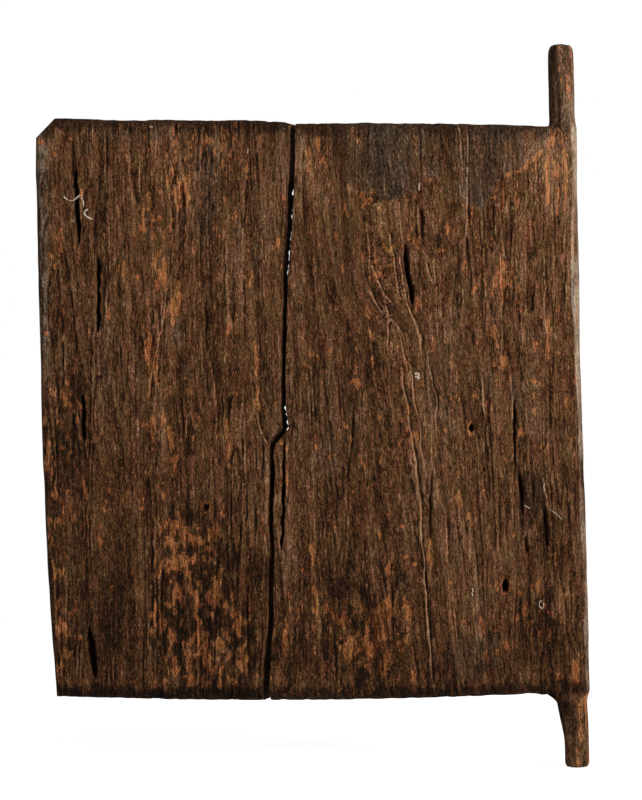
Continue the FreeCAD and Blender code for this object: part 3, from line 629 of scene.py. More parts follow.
def adze_wave(x, z, height, width, length):
    """The long shallow waves that the adze left: a product of two cosines, one leaning."""
    lean = 2 * math.pi * z / length + math.pi * x / width
    return height * np.cos(2 * math.pi * x / width) * np.cos(lean)


def riven_lines(seed, across, along, levels, g, z):
    """Where long splinters have come away: height of the layers, and their crests and grooves.

    A layer ends on a level line of a long noise. The noise less the level, over the noise's slope
    across, is the distance in mm from that line: a step there, a bell above it and one below."""
    noise = grain_noise(seed, across, along)
    slope = np.abs(np.gradient(noise, CHART_STEP[0], axis=1)) + 0.06 / across
    steps, crests, grooves = np.zeros((3, *g.shape))
    for level in levels:
        away = read(np.clip((noise - level) / slope, -8.0, 8.0), g, z)
        steps += smooth(-0.6, 0.6, away)
        crests = np.maximum(crests, np.exp(-(((away - 0.7) / 0.75) ** 2)))
        grooves = np.maximum(grooves, np.exp(-(((away + 0.8) / 0.85) ** 2)))
    strength = smooth(-0.4, 0.9, read(grain_noise(seed + 1, 3.5, 20.0), g, z))
    return steps - steps.mean(), crests * strength, grooves * strength


def thin_ridges(x, z):
    """Height of the thin ridges in mm, distance in mm from the nearest one, and its share.

    A ridge is a bell on its line with a bell-shaped groove on its right, both faded at its ends."""
    raised = np.zeros_like(x)
    seam = np.full_like(x, NO_RIDGE)
    seam_share = np.zeros_like(x)
    for line, tall in RIDGES:
        middle, share = line_at(line, z)
        fade = smooth(-0.02, 0.1, share) * smooth(1.02, 0.9, share)
        slope = np.gradient(middle, CHART_STEP[1], axis=0)
        away = (x - middle) / np.hypot(1, slope)
        nearer = (np.abs(away) < np.abs(seam)) & (fade > 0)
        seam = np.where(nearer, away, seam)
        seam_share = np.where(nearer, tall * fade * smooth(3.5, 2.6, np.abs(away)), seam_share)
        crest = np.exp(-((away / 0.85) ** 2)) * fade
        groove = np.exp(-(((away - 2.2) / 1.2) ** 2)) * fade
        raised += tall * (crest - 0.9 * groove)
    return raised, seam, seam_share


def cuts(x, z, ragged):
    """Depth of the slits and holes in mm, their share of painted shade, and the shares of their rims.

    A slit is a spindle along its line, read at the ragged x, painted dark as shade, with a painted
    highlight on its left rim. A hole is an oval, painted dark as shade, with an orange rim round it
    that is partly worn wood and partly painted highlight."""
    line, width, deepest = SPLINTER_CRACK
    painted_shade = cut_along(ragged, z, line, width)
    depth = deepest * painted_shade
    painted_highlight_rim, worn_and_lit_rim = np.zeros((2, *x.shape))
    for line, width, deepest in SLITS:
        cut = cut_along(ragged, z, line, width)
        depth = np.maximum(depth, deepest * cut)
        # Painted shade: the slit's colour is darkened, fully where it is deep
        painted_shade = np.maximum(painted_shade, cut * min(1.0, deepest / 4))
        # Painted highlight along the slit's left rim
        rim = cut_along(ragged + 0.5 * width + 0.7, z, line, 2.2)
        painted_highlight_rim += min(0.16, 0.02 * deepest + 0.04) * rim
    for centre, reach_x, reach_z, deepest in HOLES:
        inside = oval_at(x, z, centre, reach_x, reach_z)
        pit = smooth(1.08, 0.82, inside)
        depth = np.maximum(depth, deepest * pit)
        painted_shade = np.maximum(painted_shade, pit)
        # The hole's orange rim: worn wood and painted highlight
        worn_and_lit_rim = np.maximum(worn_and_lit_rim, smooth(2.0, 1.4, inside) * smooth(0.9, 1.1, inside))
    return depth, painted_shade, painted_highlight_rim, worn_and_lit_rim


def placed_wear(x, z, rag_x, rag_z):
    """Share of fresh wood in the chips, which are ovals, and in the streaks, which are bands
    along their lines that fade at both ends."""
    worn = np.zeros_like(x)
    for centre, reach_x, reach_z in CHIPS:
        spot = oval_at(rag_x, rag_z, centre, reach_x * PIXEL, reach_z * PIXEL)
        worn = np.maximum(worn, smooth(1.25, 0.55, spot))
    for line, width, share in STREAKS:
        middle, rise = line_at(line, z)
        spot = np.abs(rag_x * 0.5 + x * 0.5 - middle) / (width / 2)
        ends = smooth(-0.08, 0.08, rise) * smooth(1.08, 0.92, rise)
        worn = np.maximum(worn, share * smooth(1.3, 0.6, spot) * ends)
    return worn


def placed_smoke(x, z, rag_x, rag_z, flecks):
    """Share of violet-grey film in a band below the top edge and in the table's ovals."""
    smoke = 0.18 * smooth(*SMOKY_BAND, top_edge(x) - z)
    for centre, reach, share in GREYS:
        nearness = in_zone(rag_x, rag_z, centre, reach) + 0.05 * flecks
        smoke = np.maximum(smoke, share * smooth(0.1, 0.75, nearness))
    return smoke


def weathered_face(relief):
    """Charts of the weathered face: height in mm, from nought to one tone, worn, smoke and soot,
    the distance in mm from the nearest thin ridge with its share, and that from the lower edge
    of the dark layer.

    Height is sharp ribs of late wood (one less the size of a long noise), riven layers, flakes (a
    noise cut off at a level), short fibres and thin ridges, less a base and every slit and hole.
    Tone follows how high a point stands over its surroundings, plus broad stains and the parts
    and bands that the photograph shows, with painted highlights on crests, lips and slit rims and
    painted shade in grooves, drops, slits and holes. The adze's wave is added later, with the points."""
    x, z = chart_points()
    g = grain_lines(x, z)
    rag_x = x + 1.3 * read(grain_noise(21, 1.1, 2.4), g, z)
    rag_z = z + 4.0 * read(grain_noise(22, 1.4, 6.0), g, z)

    ribs = 1 - np.abs(read(grain_noise(1, 2.8, 42.0), g, z))
    bands = read(grain_noise(2, 7.0, 90.0), g, z)
    fibres = read(grain_noise(3, 0.8, 2.4), g, z)
    tufts = read(grain_noise(4, 1.6, 5.2), g, z)
    flakes = read(grain_noise(5, 3.4, 12.0) + 0.6 * grain_noise(6, 1.2, 3.0), g, z)
    plates = smooth(-0.16, 0.16, flakes)
    ragged_g = g + 0.45 * fibres
    layers, lit_crest_a, shaded_groove_a = riven_lines(51, 5.0, 75.0, (-1.1, -0.3, 0.5, 1.3), ragged_g, z)
    slivers, lit_crest_b, shaded_groove_b = riven_lines(53, 2.6, 32.0, (-0.8, 0.7), ragged_g, z)

    crust_edge = above_crust_edge(x, z + 0.8 * tufts)
    crust = smooth(-1.2, 1.2, crust_edge)
    mottle = mottle_mask(x + 4 * bands, z + 9 * tufts)
    swirl = rag_x - swirl_x(z)
    on_swirl = smooth(*SWIRL_ENDS, np.abs(z - SWIRL_MIDDLE)) * smooth(*SWIRL_TOP, z)
    lit_lip = np.exp(-((swirl - 1.2) / 1.4) ** 2) * on_swirl
    shaded_drop = smooth(0.4, -0.5, swirl) * smooth(-16.0, -1.0, swirl) * on_swirl

    calm = 1 - 0.55 * crust
    rough = 1 + 0.5 * mottle
    height = relief.rib * (ribs * 0.5 - 0.1) + relief.flake * (plates - 0.5) * rough * calm
    height += calm * relief.layer * (layers + 0.7 * lit_crest_a - 0.9 * shaded_groove_a)
    height += calm * relief.layer * (0.5 * slivers + 0.5 * lit_crest_b - 0.6 * shaded_groove_b)
    height = height + (relief.fibre * fibres + relief.tuft * tufts) * calm + 0.25 * bands
    height = height + 0.7 * crust + 0.55 * lit_lip - 0.75 * shaded_drop
    raised, seam, seam_share = thin_ridges(x + 0.55 * tufts, z)
    height += raised
    height = np.minimum(height - 0.75, 0.2 + 0.1 * height)

    local = height - blurred(height, 4.0, 14.0)
    tone = 0.47 + 0.07 * local / (local.std() + 1e-6) + 0.02 * bands
    tone = tone + 0.03 * read(grain_noise(7, 24.0, 60.0), g, z) + 0.02 * fibres
    # Painted highlight on the swirl ridge's lip and painted shade on the drop to its left
    tone = tone + 0.05 * lit_lip - 0.07 * shaded_drop
    # Painted highlight on the riven crests and painted shade in the grooves beside them
    tone += calm * (0.15 * lit_crest_a + 0.10 * lit_crest_b - 0.19 * shaded_groove_a - 0.13 * shaded_groove_b)
    for centre, reach, change in SHADES:
        tone += change * in_zone(rag_x, z + 6 * bands, centre, reach)

    worn = placed_wear(x, z, rag_x, rag_z)
    tone += 0.12 * worn
    flecks = read(grain_noise(8, 1.2, 2.0) + 0.5 * grain_noise(9, 2.4, 5.0), g, z)
    fresh = smooth(0.2, 0.6, flecks + 1.8 * mottle - 1.8)
    sooty = smooth(0.3, -0.2, flecks) * mottle
    height += 0.3 * fresh
    worn = np.maximum(worn, 0.85 * fresh)
    from_edge = x - free_edge(z)
    by_foot = smooth(*FLAKED_STRIP, from_edge)
    by_foot = by_foot * smooth(*FLAKED_STRIP_TOP, z) * smooth(*FLAKED_STRIP_FOOT, z)
    flaked = by_foot * smooth(0.35, 0.75, read(grain_noise(18, 1.4, 4.2), g, z))
    worn = np.maximum(worn, 0.9 * flaked)
    height += 0.3 * flaked
    sparse = read(grain_noise(10, 1.3, 6.0), g, z) + 0.7 * read(grain_noise(11, 22.0, 40.0), g, z)
    worn = np.maximum(worn, 0.42 * smooth(1.3, 2.8, sparse))
    lively = in_any_zone(x, z, LIVELY)
    worn = np.maximum(worn, 0.60 * smooth(2.05, 2.4, flecks + 0.95 * lively))
    blotched = in_any_zone(x, z, BLOTCHED)
    blots = read(grain_noise(19, 3.2, 8.0) + 0.5 * grain_noise(20, 1.5, 3.6), g, z)
    worn = np.maximum(worn, 0.7 * smooth(1.25, 1.6, blots) * smooth(0.2, 0.6, blotched))
    tone -= 0.21 * smooth(-0.7, -1.1, blots) * smooth(0.15, 0.6, blotched)
    root = smooth(*ROOT_LEFT, rag_x) * smooth(*ROOT_FOOT, rag_z) * smooth(*ROOT_RIGHT, x)
    worn = np.maximum(worn, 0.5 * root * smooth(-0.9, 0.9, fibres + tufts))
    worn = worn * (1 - 0.55 * crust)

    top_band = smooth(*TOP_BAND, top_edge(x) - z + 1.2 * tufts)
    foot_band = smooth(*FOOT_BAND, z - bottom_edge(x) + 1.5 * tufts)
    on_left = smooth(*NARROW_PLANK, x)
    tone = tone + 0.20 * flaked - 0.10 * by_foot * (1 - flaked)
    # Darker below the top edge and above the bottom edge; the bottom band is soot together with painted
    # shade on the downward-facing rounding
    tone = tone - (0.24 - 0.12 * crust) * top_band - foot_band * (0.26 + 0.12 * on_left) - 0.25 * sooty
    tone -= 0.03 * on_left * smooth(*DARKER_FOOT, z)
    under_crust = smooth(-4.4, -2.6, crust_edge + 0.8 * flecks) * (1 - crust)
    tone += 0.19 * under_crust
    worn = np.maximum(worn, 0.5 * under_crust * smooth(-0.8, 0.6, fibres))
    grey_patch = in_box(rag_x, rag_z, *GREY_PATCH)
    black_patch = in_box(0.5 * (x + rag_x), 0.5 * (z + rag_z), *BLACK_PATCH)
    height = height - 0.5 * grey_patch - 0.4 * black_patch
    tone = tone - 0.06 * grey_patch - 0.07 * black_patch
    by_joint = smooth(*BY_JOINT, np.abs(x - joint_left(z, 0) - 12)) * smooth(*BY_JOINT_TOP, z)
    tone -= 0.10 * by_joint * smooth(0.8, -0.4, flecks)

    depth, painted_shade, painted_highlight_rim, worn_and_lit_rim = cuts(x, z, x + 0.35 * fibres)
    height -= depth
    # Painted highlight on the slits' left rims, then painted shade over the slits and holes
    tone = (tone + painted_highlight_rim) * (1 - 0.85 * painted_shade)
    worn = np.maximum(worn, worn_and_lit_rim) * (1 - painted_shade)

    smoke = placed_smoke(x, z, rag_x, rag_z, flecks)
    soot = np.clip(0.74 * stray(CRUST_SOOT, x) + 0.18 * tufts + 0.12 * bands, 0.0, 1.0)
    soot = soot * (crust_edge > -5.0)
    by_edge = smooth(*GREY_STRIP, from_edge + tufts) * smooth(*GREY_STRIP_FOOT, z)
    smoke = np.maximum(smoke, 0.85 * by_edge)
    smoke = np.maximum(smoke, np.maximum(0.34 * grey_patch, 0.3 * black_patch))
    tone += by_edge * (0.02 + 0.14 * smooth(-1.0, 1.0, fibres))
    return {"height": height, "tone": tone, "worn": worn, "smoke": smoke * (1 - painted_shade),
            "seam": seam, "seam_share": seam_share * (1 - painted_shade),
            "crust_edge": crust_edge, "soot": soot * (1 - painted_shade)}


def hidden_face(relief):
    """Charts of the hidden face: the adze's scallops, fine grain and a few drying cracks.

    A scallop is a shallow bowl round each stroke, and the lowest bowl at a point is the wood."""
    x, z = chart_points()
    strokes = np.random.default_rng(31)
    wood = np.full(x.shape, 9.0)
    step_x, step_z = STROKE_STEPS
    size_x, size_z = STROKE_SIZES
    for row, z0 in enumerate(np.arange(20.0, 600.0, step_z)):
        for x0 in np.arange(-480.0 + (row % 2) * step_x / 2, 30.0, step_x):
            jitter = strokes.uniform(-1, 1, 4)
            cx, cz = x0 + 8 * jitter[0], z0 + 14 * jitter[1]
            bowl = ((x - cx) / size_x) ** 2 + ((z - cz) / size_z) ** 2
            wood = np.minimum(wood, bowl * (0.42 + 0.1 * jitter[2]) - 0.25 * jitter[3])
    fibres = grain_noise(12, 0.9, 9.0)
    bands = grain_noise(13, 4.0, 60.0)
    height = np.minimum(wood, 0.9) * relief.scallop - 0.75 + 0.07 * fibres + 0.10 * bands
    ribs = 1 - np.abs(grain_noise(14, 2.2, 50.0))
    height += 0.14 * ribs
    local = height - blurred(height, 5.0, 16.0)
    tone = 0.50 + 0.065 * local / local.std() + 0.05 * grain_noise(15, 30.0, 60.0) + 0.03 * fibres
    split = smooth(2.35, 2.9, grain_noise(16, 0.9, 26.0))
    height -= 1.6 * split
    # Painted shade in the drying cracks
    tone = tone * (1 - 0.7 * split)
    tone -= 0.16 * smooth(*HIDDEN_TOP_BAND, top_edge(x) - z)
    tone -= 0.16 * smooth(*HIDDEN_FOOT_BAND, z - bottom_edge(x))
    rust = np.zeros_like(x)
    for name, _ in STAPLES:
        low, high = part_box(name)
        cx, cz = (low.x + high.x) / 2 / MM, (low.z + high.z) / 2 / MM
        round_it = np.hypot(np.maximum(np.abs(x - cx) - 30.0, 0) / 6.0, (z - cz + 3) / 12.0)
        rust = np.maximum(rust, smooth(1.4, 0.5, round_it + 0.25 * bands))
    worn = 0.30 * smooth(1.6, 2.5, grain_noise(17, 1.6, 9.0)) + 0.25 * rust
    return {"height": height, "tone": tone - 0.12 * rust, "worn": worn, "smoke": np.full_like(x, 0.2)}


def edge_steps(front, straight, back):
    """Points across an edge from face to face: a quarter round, a straight run, a quarter round.

    Depth at a point is its share of the round's depth plus its share of the leaf's thickness.
    The wear of a face at a point is one less the sine of the angle round the quarter."""
    down = np.linspace(0, math.pi / 2, front + 1)
    run = np.linspace(0, 1, straight + 1)[1:-1]
    up = np.linspace(math.pi / 2, 0, back + 1)
    of_round = np.concatenate([1 - np.cos(down), 1 - 2 * run, np.cos(up) - 1])
    of_leaf = np.concatenate([down * 0, run, up * 0 + 1])
    front_wear = np.concatenate([1 - np.sin(down), run * 0, up * 0])
    back_wear = np.concatenate([down * 0, run * 0, 1 - np.sin(up)])
    return np.array([of_round, of_leaf, front_wear, back_wear])


class Plank:
    """What tells one plank from the other: its sides, their wear, its mesh steps and its pivots."""

    def __init__(self, sides, rounds, columns, rows, right_steps, pivots):
        self.left, self.right = sides
        self.left_round, self.right_round = rounds
        self.columns = columns
        self.rows = rows
        self.right_steps = right_steps
        self.pivots = pivots

    def share_across(self, share, rise, left, right):
        """Moves columns so that the pivots' left sides stand where the pivots start: two straight
        runs that meet at a knee, one pair at the foot and one at the top, blended by the rise."""
        if not self.pivots:
            return share
        bent = []
        for own, start in ((LOWER_PIVOT_COLUMNS, LOWER_ROOT_LEFT), (UPPER_PIVOT_COLUMNS, PIVOT_LEFT)):
            knee = 1 - own / self.columns
            target = (start - left) / (right - left)
            below = share * target / knee
            beyond = 1 - (1 - share) * (1 - target) / (1 - knee)
            bent.append(np.where(share < knee, below, beyond))
        return bent[0] + (bent[1] - bent[0]) * rise

    def top_round(self, x):
        """Wear of the top arris: less on the cut corner, none where the pivot grows out."""
        on_corner = smooth(TOP_CORNER[0] + 8, TOP_CORNER[0] - 6, x)
        wear = TOP_ROUND - (TOP_ROUND - FREE_EDGE_ROUND) * on_corner
        return wear * (smooth(-13.0, -22.0, x) if self.pivots else 1.0)

    def bottom_round(self, x):
        """Wear of the bottom arris: none where the lower pivot's root grows out."""
        return BOTTOM_ROUND * (smooth(-31.0, -42.0, x) if self.pivots else 1.0)

    def place(self, share, rise, level):
        """Points of the leaf, in mm, at a share across and a share up, at the depths in level.

        Every depth has its own outline: the outer one, set in by the wear at that depth. Across
        and up depend on each other, so the answer is taken from a few rounds of both."""
        of_round, of_leaf, front_wear, back_wear = level
        share, rise, of_round = np.broadcast_arrays(share, rise, of_round)
        wear = front_wear + BACK_WEAR_SHARE * back_wear
        stile_wear = front_wear + back_wear
        z = FOOT_AT_STILE + (TOP_AT_STILE - FOOT_AT_STILE) * rise
        x = np.zeros_like(z)
        for _ in range(5):
            thickness = 2 * half_thickness(x)
            depth = of_round * ROUND_DEPTH + of_leaf * thickness
            depth_share = depth / thickness
            left = self.left(z, depth_share) + self.left_round * wear
            right_wear = stile_wear if self.pivots else wear
            right = self.right(z, depth_share) - self.right_round * right_wear
            x = left + (right - left) * self.share_across(share, rise, left, right)
            low = bottom_edge(x) + self.bottom_round(x) * wear
            high = top_edge(x) - self.top_round(x) * wear
            z = low + (high - low) * rise
        return np.stack([x, depth - half_thickness(x), z], axis=-1)


class Skin:
    """A mesh under construction: points, faces, and a running count of the points."""

    def __init__(self):
        self.points = []
        self.quads = []
        self.triangles = []
        self.count = 0

    def add(self, points):
        """Adds points given as an array of any shape ending in 3 and returns their numbers."""
        numbers = np.arange(self.count, self.count + points[..., 0].size).reshape(points.shape[:-1])
        self.points.append(points.reshape(-1, 3))
        self.count += numbers.size
        return numbers

    def sheet(self, numbers, closed=False):
        """Quads over a grid of point numbers, whose rows go up and whose columns go round."""
        near = numbers[:, :-1]
        far = numbers[:, 1:]
        if closed:
            near = numbers
            far = np.roll(numbers, -1, axis=1)
        quads = np.stack([near[:-1], far[:-1], far[1:], near[1:]], axis=-1)
        self.quads.append(quads.reshape(-1, 4))

    def thin_out(self, fine, coarse):
        """Joins a fine row to one with a third of its steps: triangle, quad, triangle to a step."""
        a, b, c, d = fine[0:-1:3], fine[1::3], fine[2::3], fine[3::3]
        e, f = coarse[:-1], coarse[1:]
        self.triangles.append(np.stack([a, b, e], axis=-1))
        self.quads.append(np.stack([b, c, f, e], axis=-1))
        self.triangles.append(np.stack([c, d, f], axis=-1))

    def fan(self, ring, centre):
        """Closes a ring with triangles to one point."""
        pole = self.add(centre.reshape(1, 3))
        after = np.roll(ring, -1)
        self.triangles.append(np.stack([ring, after, np.full_like(ring, pole[0])], axis=-1))

    def joined(self):
        """All points, quads and triangles so far, each as one array."""
        return [np.concatenate(group) for group in (self.points, self.quads, self.triangles)]

    def turned(self, first_quads, first_triangles):
        """Turns round every face added since these counts of face groups."""
        self.quads[first_quads:] = [q[:, ::-1] for q in self.quads[first_quads:]]
        self.triangles[first_triangles:] = [t[:, ::-1] for t in self.triangles[first_triangles:]]


def plank_levels(plank, side_steps):
    """Share across and depth rule of each column round the plank: face, right edge, hidden
    face and left edge in turn."""
    columns = plank.columns
    face = np.linspace(0, 1, columns + 1)
    rear = np.linspace(1, 0, columns // COARSER + 1)
    right = plank.right_steps
    shares = np.concatenate([face, np.ones(right.shape[1] - 2), rear, np.zeros(side_steps.shape[1] - 2)])
    levels = np.concatenate([
        np.repeat(right[:, :1], columns + 1, axis=1),
        right[:, 1:-1],
        np.repeat(right[:, -1:], columns // COARSER + 1, axis=1),
        side_steps[:, -2:0:-1],
    ], axis=1)
    return shares, levels


def cap(skin, plank, wall, side_steps, rise, own):
    """Closes one end of the plank between its faces, up to the pivot's left side if it has one.

    Rows of the patch go from face to face, fine near the weathered face and a third as fine
    behind it. Returns the ring that the pivot grows from, or nothing."""
    columns = plank.columns - own
    depths = side_steps.shape[1]
    right_count = plank.right_steps.shape[1]
    rear_start = plank.columns + right_count - 1
    rear_first = rear_start + plank.columns // COARSER
    front_row = wall[:columns + 1]
    rear_row = wall[rear_start + own // COARSER:rear_first + 1][::-1]
    left = np.concatenate([wall[:1], wall[rear_first + 1:][::-1], wall[rear_first:rear_first + 1]])
    inner = side_steps[:, 1:-1]
    end_share = columns / plank.columns
    if own:
        end_column = skin.add(plank.place(end_share, rise, inner))
        right = np.concatenate([front_row[-1:], end_column, rear_row[-1:]])
    else:
        first = plank.columns
        right = wall[first:first + right_count]
    fine = np.linspace(0, end_share, columns + 1)[1:-1]
    coarse = np.linspace(0, end_share, columns // COARSER + 1)[1:-1]
    rows = [front_row]
    for k in range(1, depths - 1):
        shares = fine if k <= FINE_DEPTH_STEPS else coarse
        middle = skin.add(plank.place(shares, rise, side_steps[:, k:k + 1]))
        rows.append(np.concatenate([left[k:k + 1], middle, right[k:k + 1]]))
    rows.append(rear_row)
    skin.sheet(np.array(rows[:FINE_DEPTH_STEPS + 1]))
    skin.thin_out(rows[FINE_DEPTH_STEPS], rows[FINE_DEPTH_STEPS + 1])
    skin.sheet(np.array(rows[FINE_DEPTH_STEPS + 1:]))
    if not own:
        return None
    rear_part = wall[rear_start:rear_start + own // COARSER + 1]
    return np.concatenate([wall[columns:rear_start], rear_part, end_column[::-1]])


def ring_angles(points):
    """Angle of each point of a ring about the middle of the ring's box, seen from above."""
    middle = (points.min(axis=0) + points.max(axis=0)) / 2
    return np.arctan2(points[:, 1] - middle[1], points[:, 0] - middle[0])


def oval_ring(angles, across, deep, z, middle=0.0):
    """A level ring at these angles: an oval with its radii along X and Y, shifted along X."""
    return np.stack([middle + across * np.cos(angles), deep * np.sin(angles), 0 * angles + z], axis=-1)


def rounding(start, oval, z, turn):
    """The root's ring at a height z, turned into an oval ring in proportion to turn."""
    root = start.copy()
    root[:, 2] = z
    return root * (1 - turn) + oval * turn


def chopped(angles, radius, facets):
    """Radius of a round bar after the adze: the least of the round and each flat chop, whose
    distance from the axis is a share of the radius and whose facing is an angle in degrees."""
    shares = np.ones_like(angles)
    for facing, share in facets:
        lean = np.cos(angles - math.radians(facing))
        shares = np.where(lean > 0.2, np.minimum(shares, share / np.maximum(lean, 0.2)), shares)
    return radius * shares


# Flat chops of the adze round each pivot: facing in degrees and distance as a share of the radius
UPPER_FACETS = ((-132, 0.92), (-48, 0.90), (38, 0.95), (140, 0.94), (90, 0.97))
LOWER_FACETS = ((-150, 0.93), (-70, 0.95), (-8, 0.97), (60, 0.93), (120, 0.95))


def upper_pivot(skin, ring, start):
    """Grows the upper pivot from its ring: the squared root turns into a round journal, then a
    taper and a blunt tip, with the chops of the adze along it."""
    angles = ring_angles(start)
    heights = np.concatenate([
        np.linspace(TOP_AT_STILE, UPPER_JOURNAL[0] + 3, 9)[1:],
        np.linspace(UPPER_JOURNAL[0] + 3, UPPER_TIP[0] - 1.5, 42)[1:],
    ])
    rings = [ring]
    for z in heights:
        turn = smooth(TOP_AT_STILE - 3, UPPER_JOURNAL[0] + 3, z)
        shoulder = np.clip((z - UPPER_TAPER[0]) / (UPPER_TIP[0] - 1.5 - UPPER_TAPER[0]), 0.0, 1.0)
        eased = np.interp(z, [UPPER_JOURNAL[1], UPPER_TAPER[0]], [UPPER_RADIUS, UPPER_TAPER[1] + 0.8])
        radius = eased - (UPPER_TAPER[1] - UPPER_TIP[1] - 0.2) * shoulder ** 3
        bar = chopped(angles, radius, UPPER_FACETS)
        rings.append(skin.add(rounding(start, oval_ring(angles, bar, bar, z), z, turn)))
    lean = UPPER_TIP_LEAN * np.cos(angles - math.radians(200))
    for share in (0.94, 0.8, 0.6, 0.4, 0.2):
        bar = chopped(angles, (UPPER_TIP[1] + 1.0) * share, UPPER_FACETS)
        z = UPPER_TIP[0] - 0.4 - 1.2 * share ** 6 + np.minimum(lean * share, 0.2) - 0.2
        rings.append(skin.add(oval_ring(angles, bar, bar, z)))
    skin.sheet(np.array(rings), closed=True)
    skin.fan(rings[-1], np.array([0.0, 0.0, UPPER_TIP[0] - 0.8]))


def lower_pivot(skin, ring, start):
    """Grows the lower pivot down from its ring: the flared root narrows to an oval neck and a
    round journal, whose outside stays in line with the hinge edge."""
    angles = ring_angles(start)
    heights = np.concatenate([
        np.linspace(FOOT_AT_STILE, LOWER_NECK[0], 8)[1:],
        np.linspace(LOWER_NECK[0], LOWER_TIP_START, 34)[1:],
        np.linspace(LOWER_TIP_START, LOWER_TIP[0] + 0.8, 4)[1:],
    ])
    rings = [ring]
    neck_x = LOWER_RADIUS - LOWER_NECK[1] / 2
    for z in heights:
        turn = smooth(FOOT_AT_STILE + 3, LOWER_NECK[0] - 2, z)
        narrow = smooth(LOWER_NECK[0] + 8, 0.0, z)
        across = LOWER_NECK[1] / 2 + (LOWER_RADIUS - LOWER_NECK[1] / 2) * narrow
        deep = LOWER_NECK[2] / 2 + (LOWER_RADIUS - LOWER_NECK[2] / 2) * narrow
        end = np.interp(z, [LOWER_TIP[0], LOWER_TIP_START], [LOWER_TIP[1] / LOWER_RADIUS, 1])
        share = chopped(angles, 1.0, LOWER_FACETS) * end
        oval = oval_ring(angles, across * share, deep * share, z, middle=neck_x * (1 - narrow))
        rings.append(skin.add(rounding(start, oval, z, turn)))
    for share in (0.92, 0.75, 0.55, 0.35, 0.15):
        bar = chopped(angles, LOWER_TIP[1] * share, LOWER_FACETS)
        rings.append(skin.add(oval_ring(angles, bar, bar, LOWER_TIP[0] + 0.8 * share ** 5)))
    groups = len(skin.quads), len(skin.triangles)
    skin.sheet(np.array(rings), closed=True)
    skin.fan(rings[-1], np.array([0.0, 0.0, LOWER_TIP[0]]))
    skin.turned(*groups)


def row_shares(rows):
    """Shares of the height where the rows lie: closer by a bell where the joint steps aside."""
    even = np.linspace(0, 1, 400)
    step_at = (270.0 - FOOT_AT_STILE) / (TOP_AT_STILE - FOOT_AT_STILE)
    crowding = np.cumsum(1 + 1.6 * np.exp(-(((even - step_at) / 0.045) ** 2)))
    crowding = (crowding - crowding[0]) / (crowding[-1] - crowding[0])
    return np.interp(np.linspace(0, 1, rows + 1), crowding, even)


def plank_skin(plank):
    """The plank before weathering, as one closed skin of numbered points and faces."""
    side_steps = edge_steps(ROUND_STEPS, STRAIGHT_STEPS, BACK_STEPS)
    shares, levels = plank_levels(plank, side_steps)
    rises = row_shares(plank.rows)[:, None]
    skin = Skin()
    points = plank.place(shares[None, :], rises, levels[:, None, :])
    wall = skin.add(points)
    skin.sheet(wall, closed=True)
    top_own = UPPER_PIVOT_COLUMNS if plank.pivots else 0
    foot_own = LOWER_PIVOT_COLUMNS if plank.pivots else 0
    top_ring = cap(skin, plank, wall[-1], side_steps, 1.0, top_own)
    groups = len(skin.quads), len(skin.triangles)
    foot_ring = cap(skin, plank, wall[0], side_steps, 0.0, foot_own)
    skin.turned(*groups)
    if plank.pivots:
        so_far = np.concatenate(skin.points)
        upper_pivot(skin, top_ring, so_far[top_ring])
        lower_pivot(skin, foot_ring, so_far[foot_ring])
    return skin.joined()


def outward(points, quads, triangles):
    """The outward direction at each point: the sum of its faces' area vectors, to length one."""
    total = np.zeros_like(points)
    split = np.concatenate([quads[:, [0, 1, 2]], quads[:, [0, 2, 3]], triangles])
    a, b, c = points[split[:, 0]], points[split[:, 1]], points[split[:, 2]]
    area = np.cross(b - a, c - a)
    for corner in range(3):
        for axis in range(3):
            total[:, axis] += np.bincount(split[:, corner], area[:, axis], len(points))
    return total / np.maximum(np.linalg.norm(total, axis=1, keepdims=True), 1e-12)


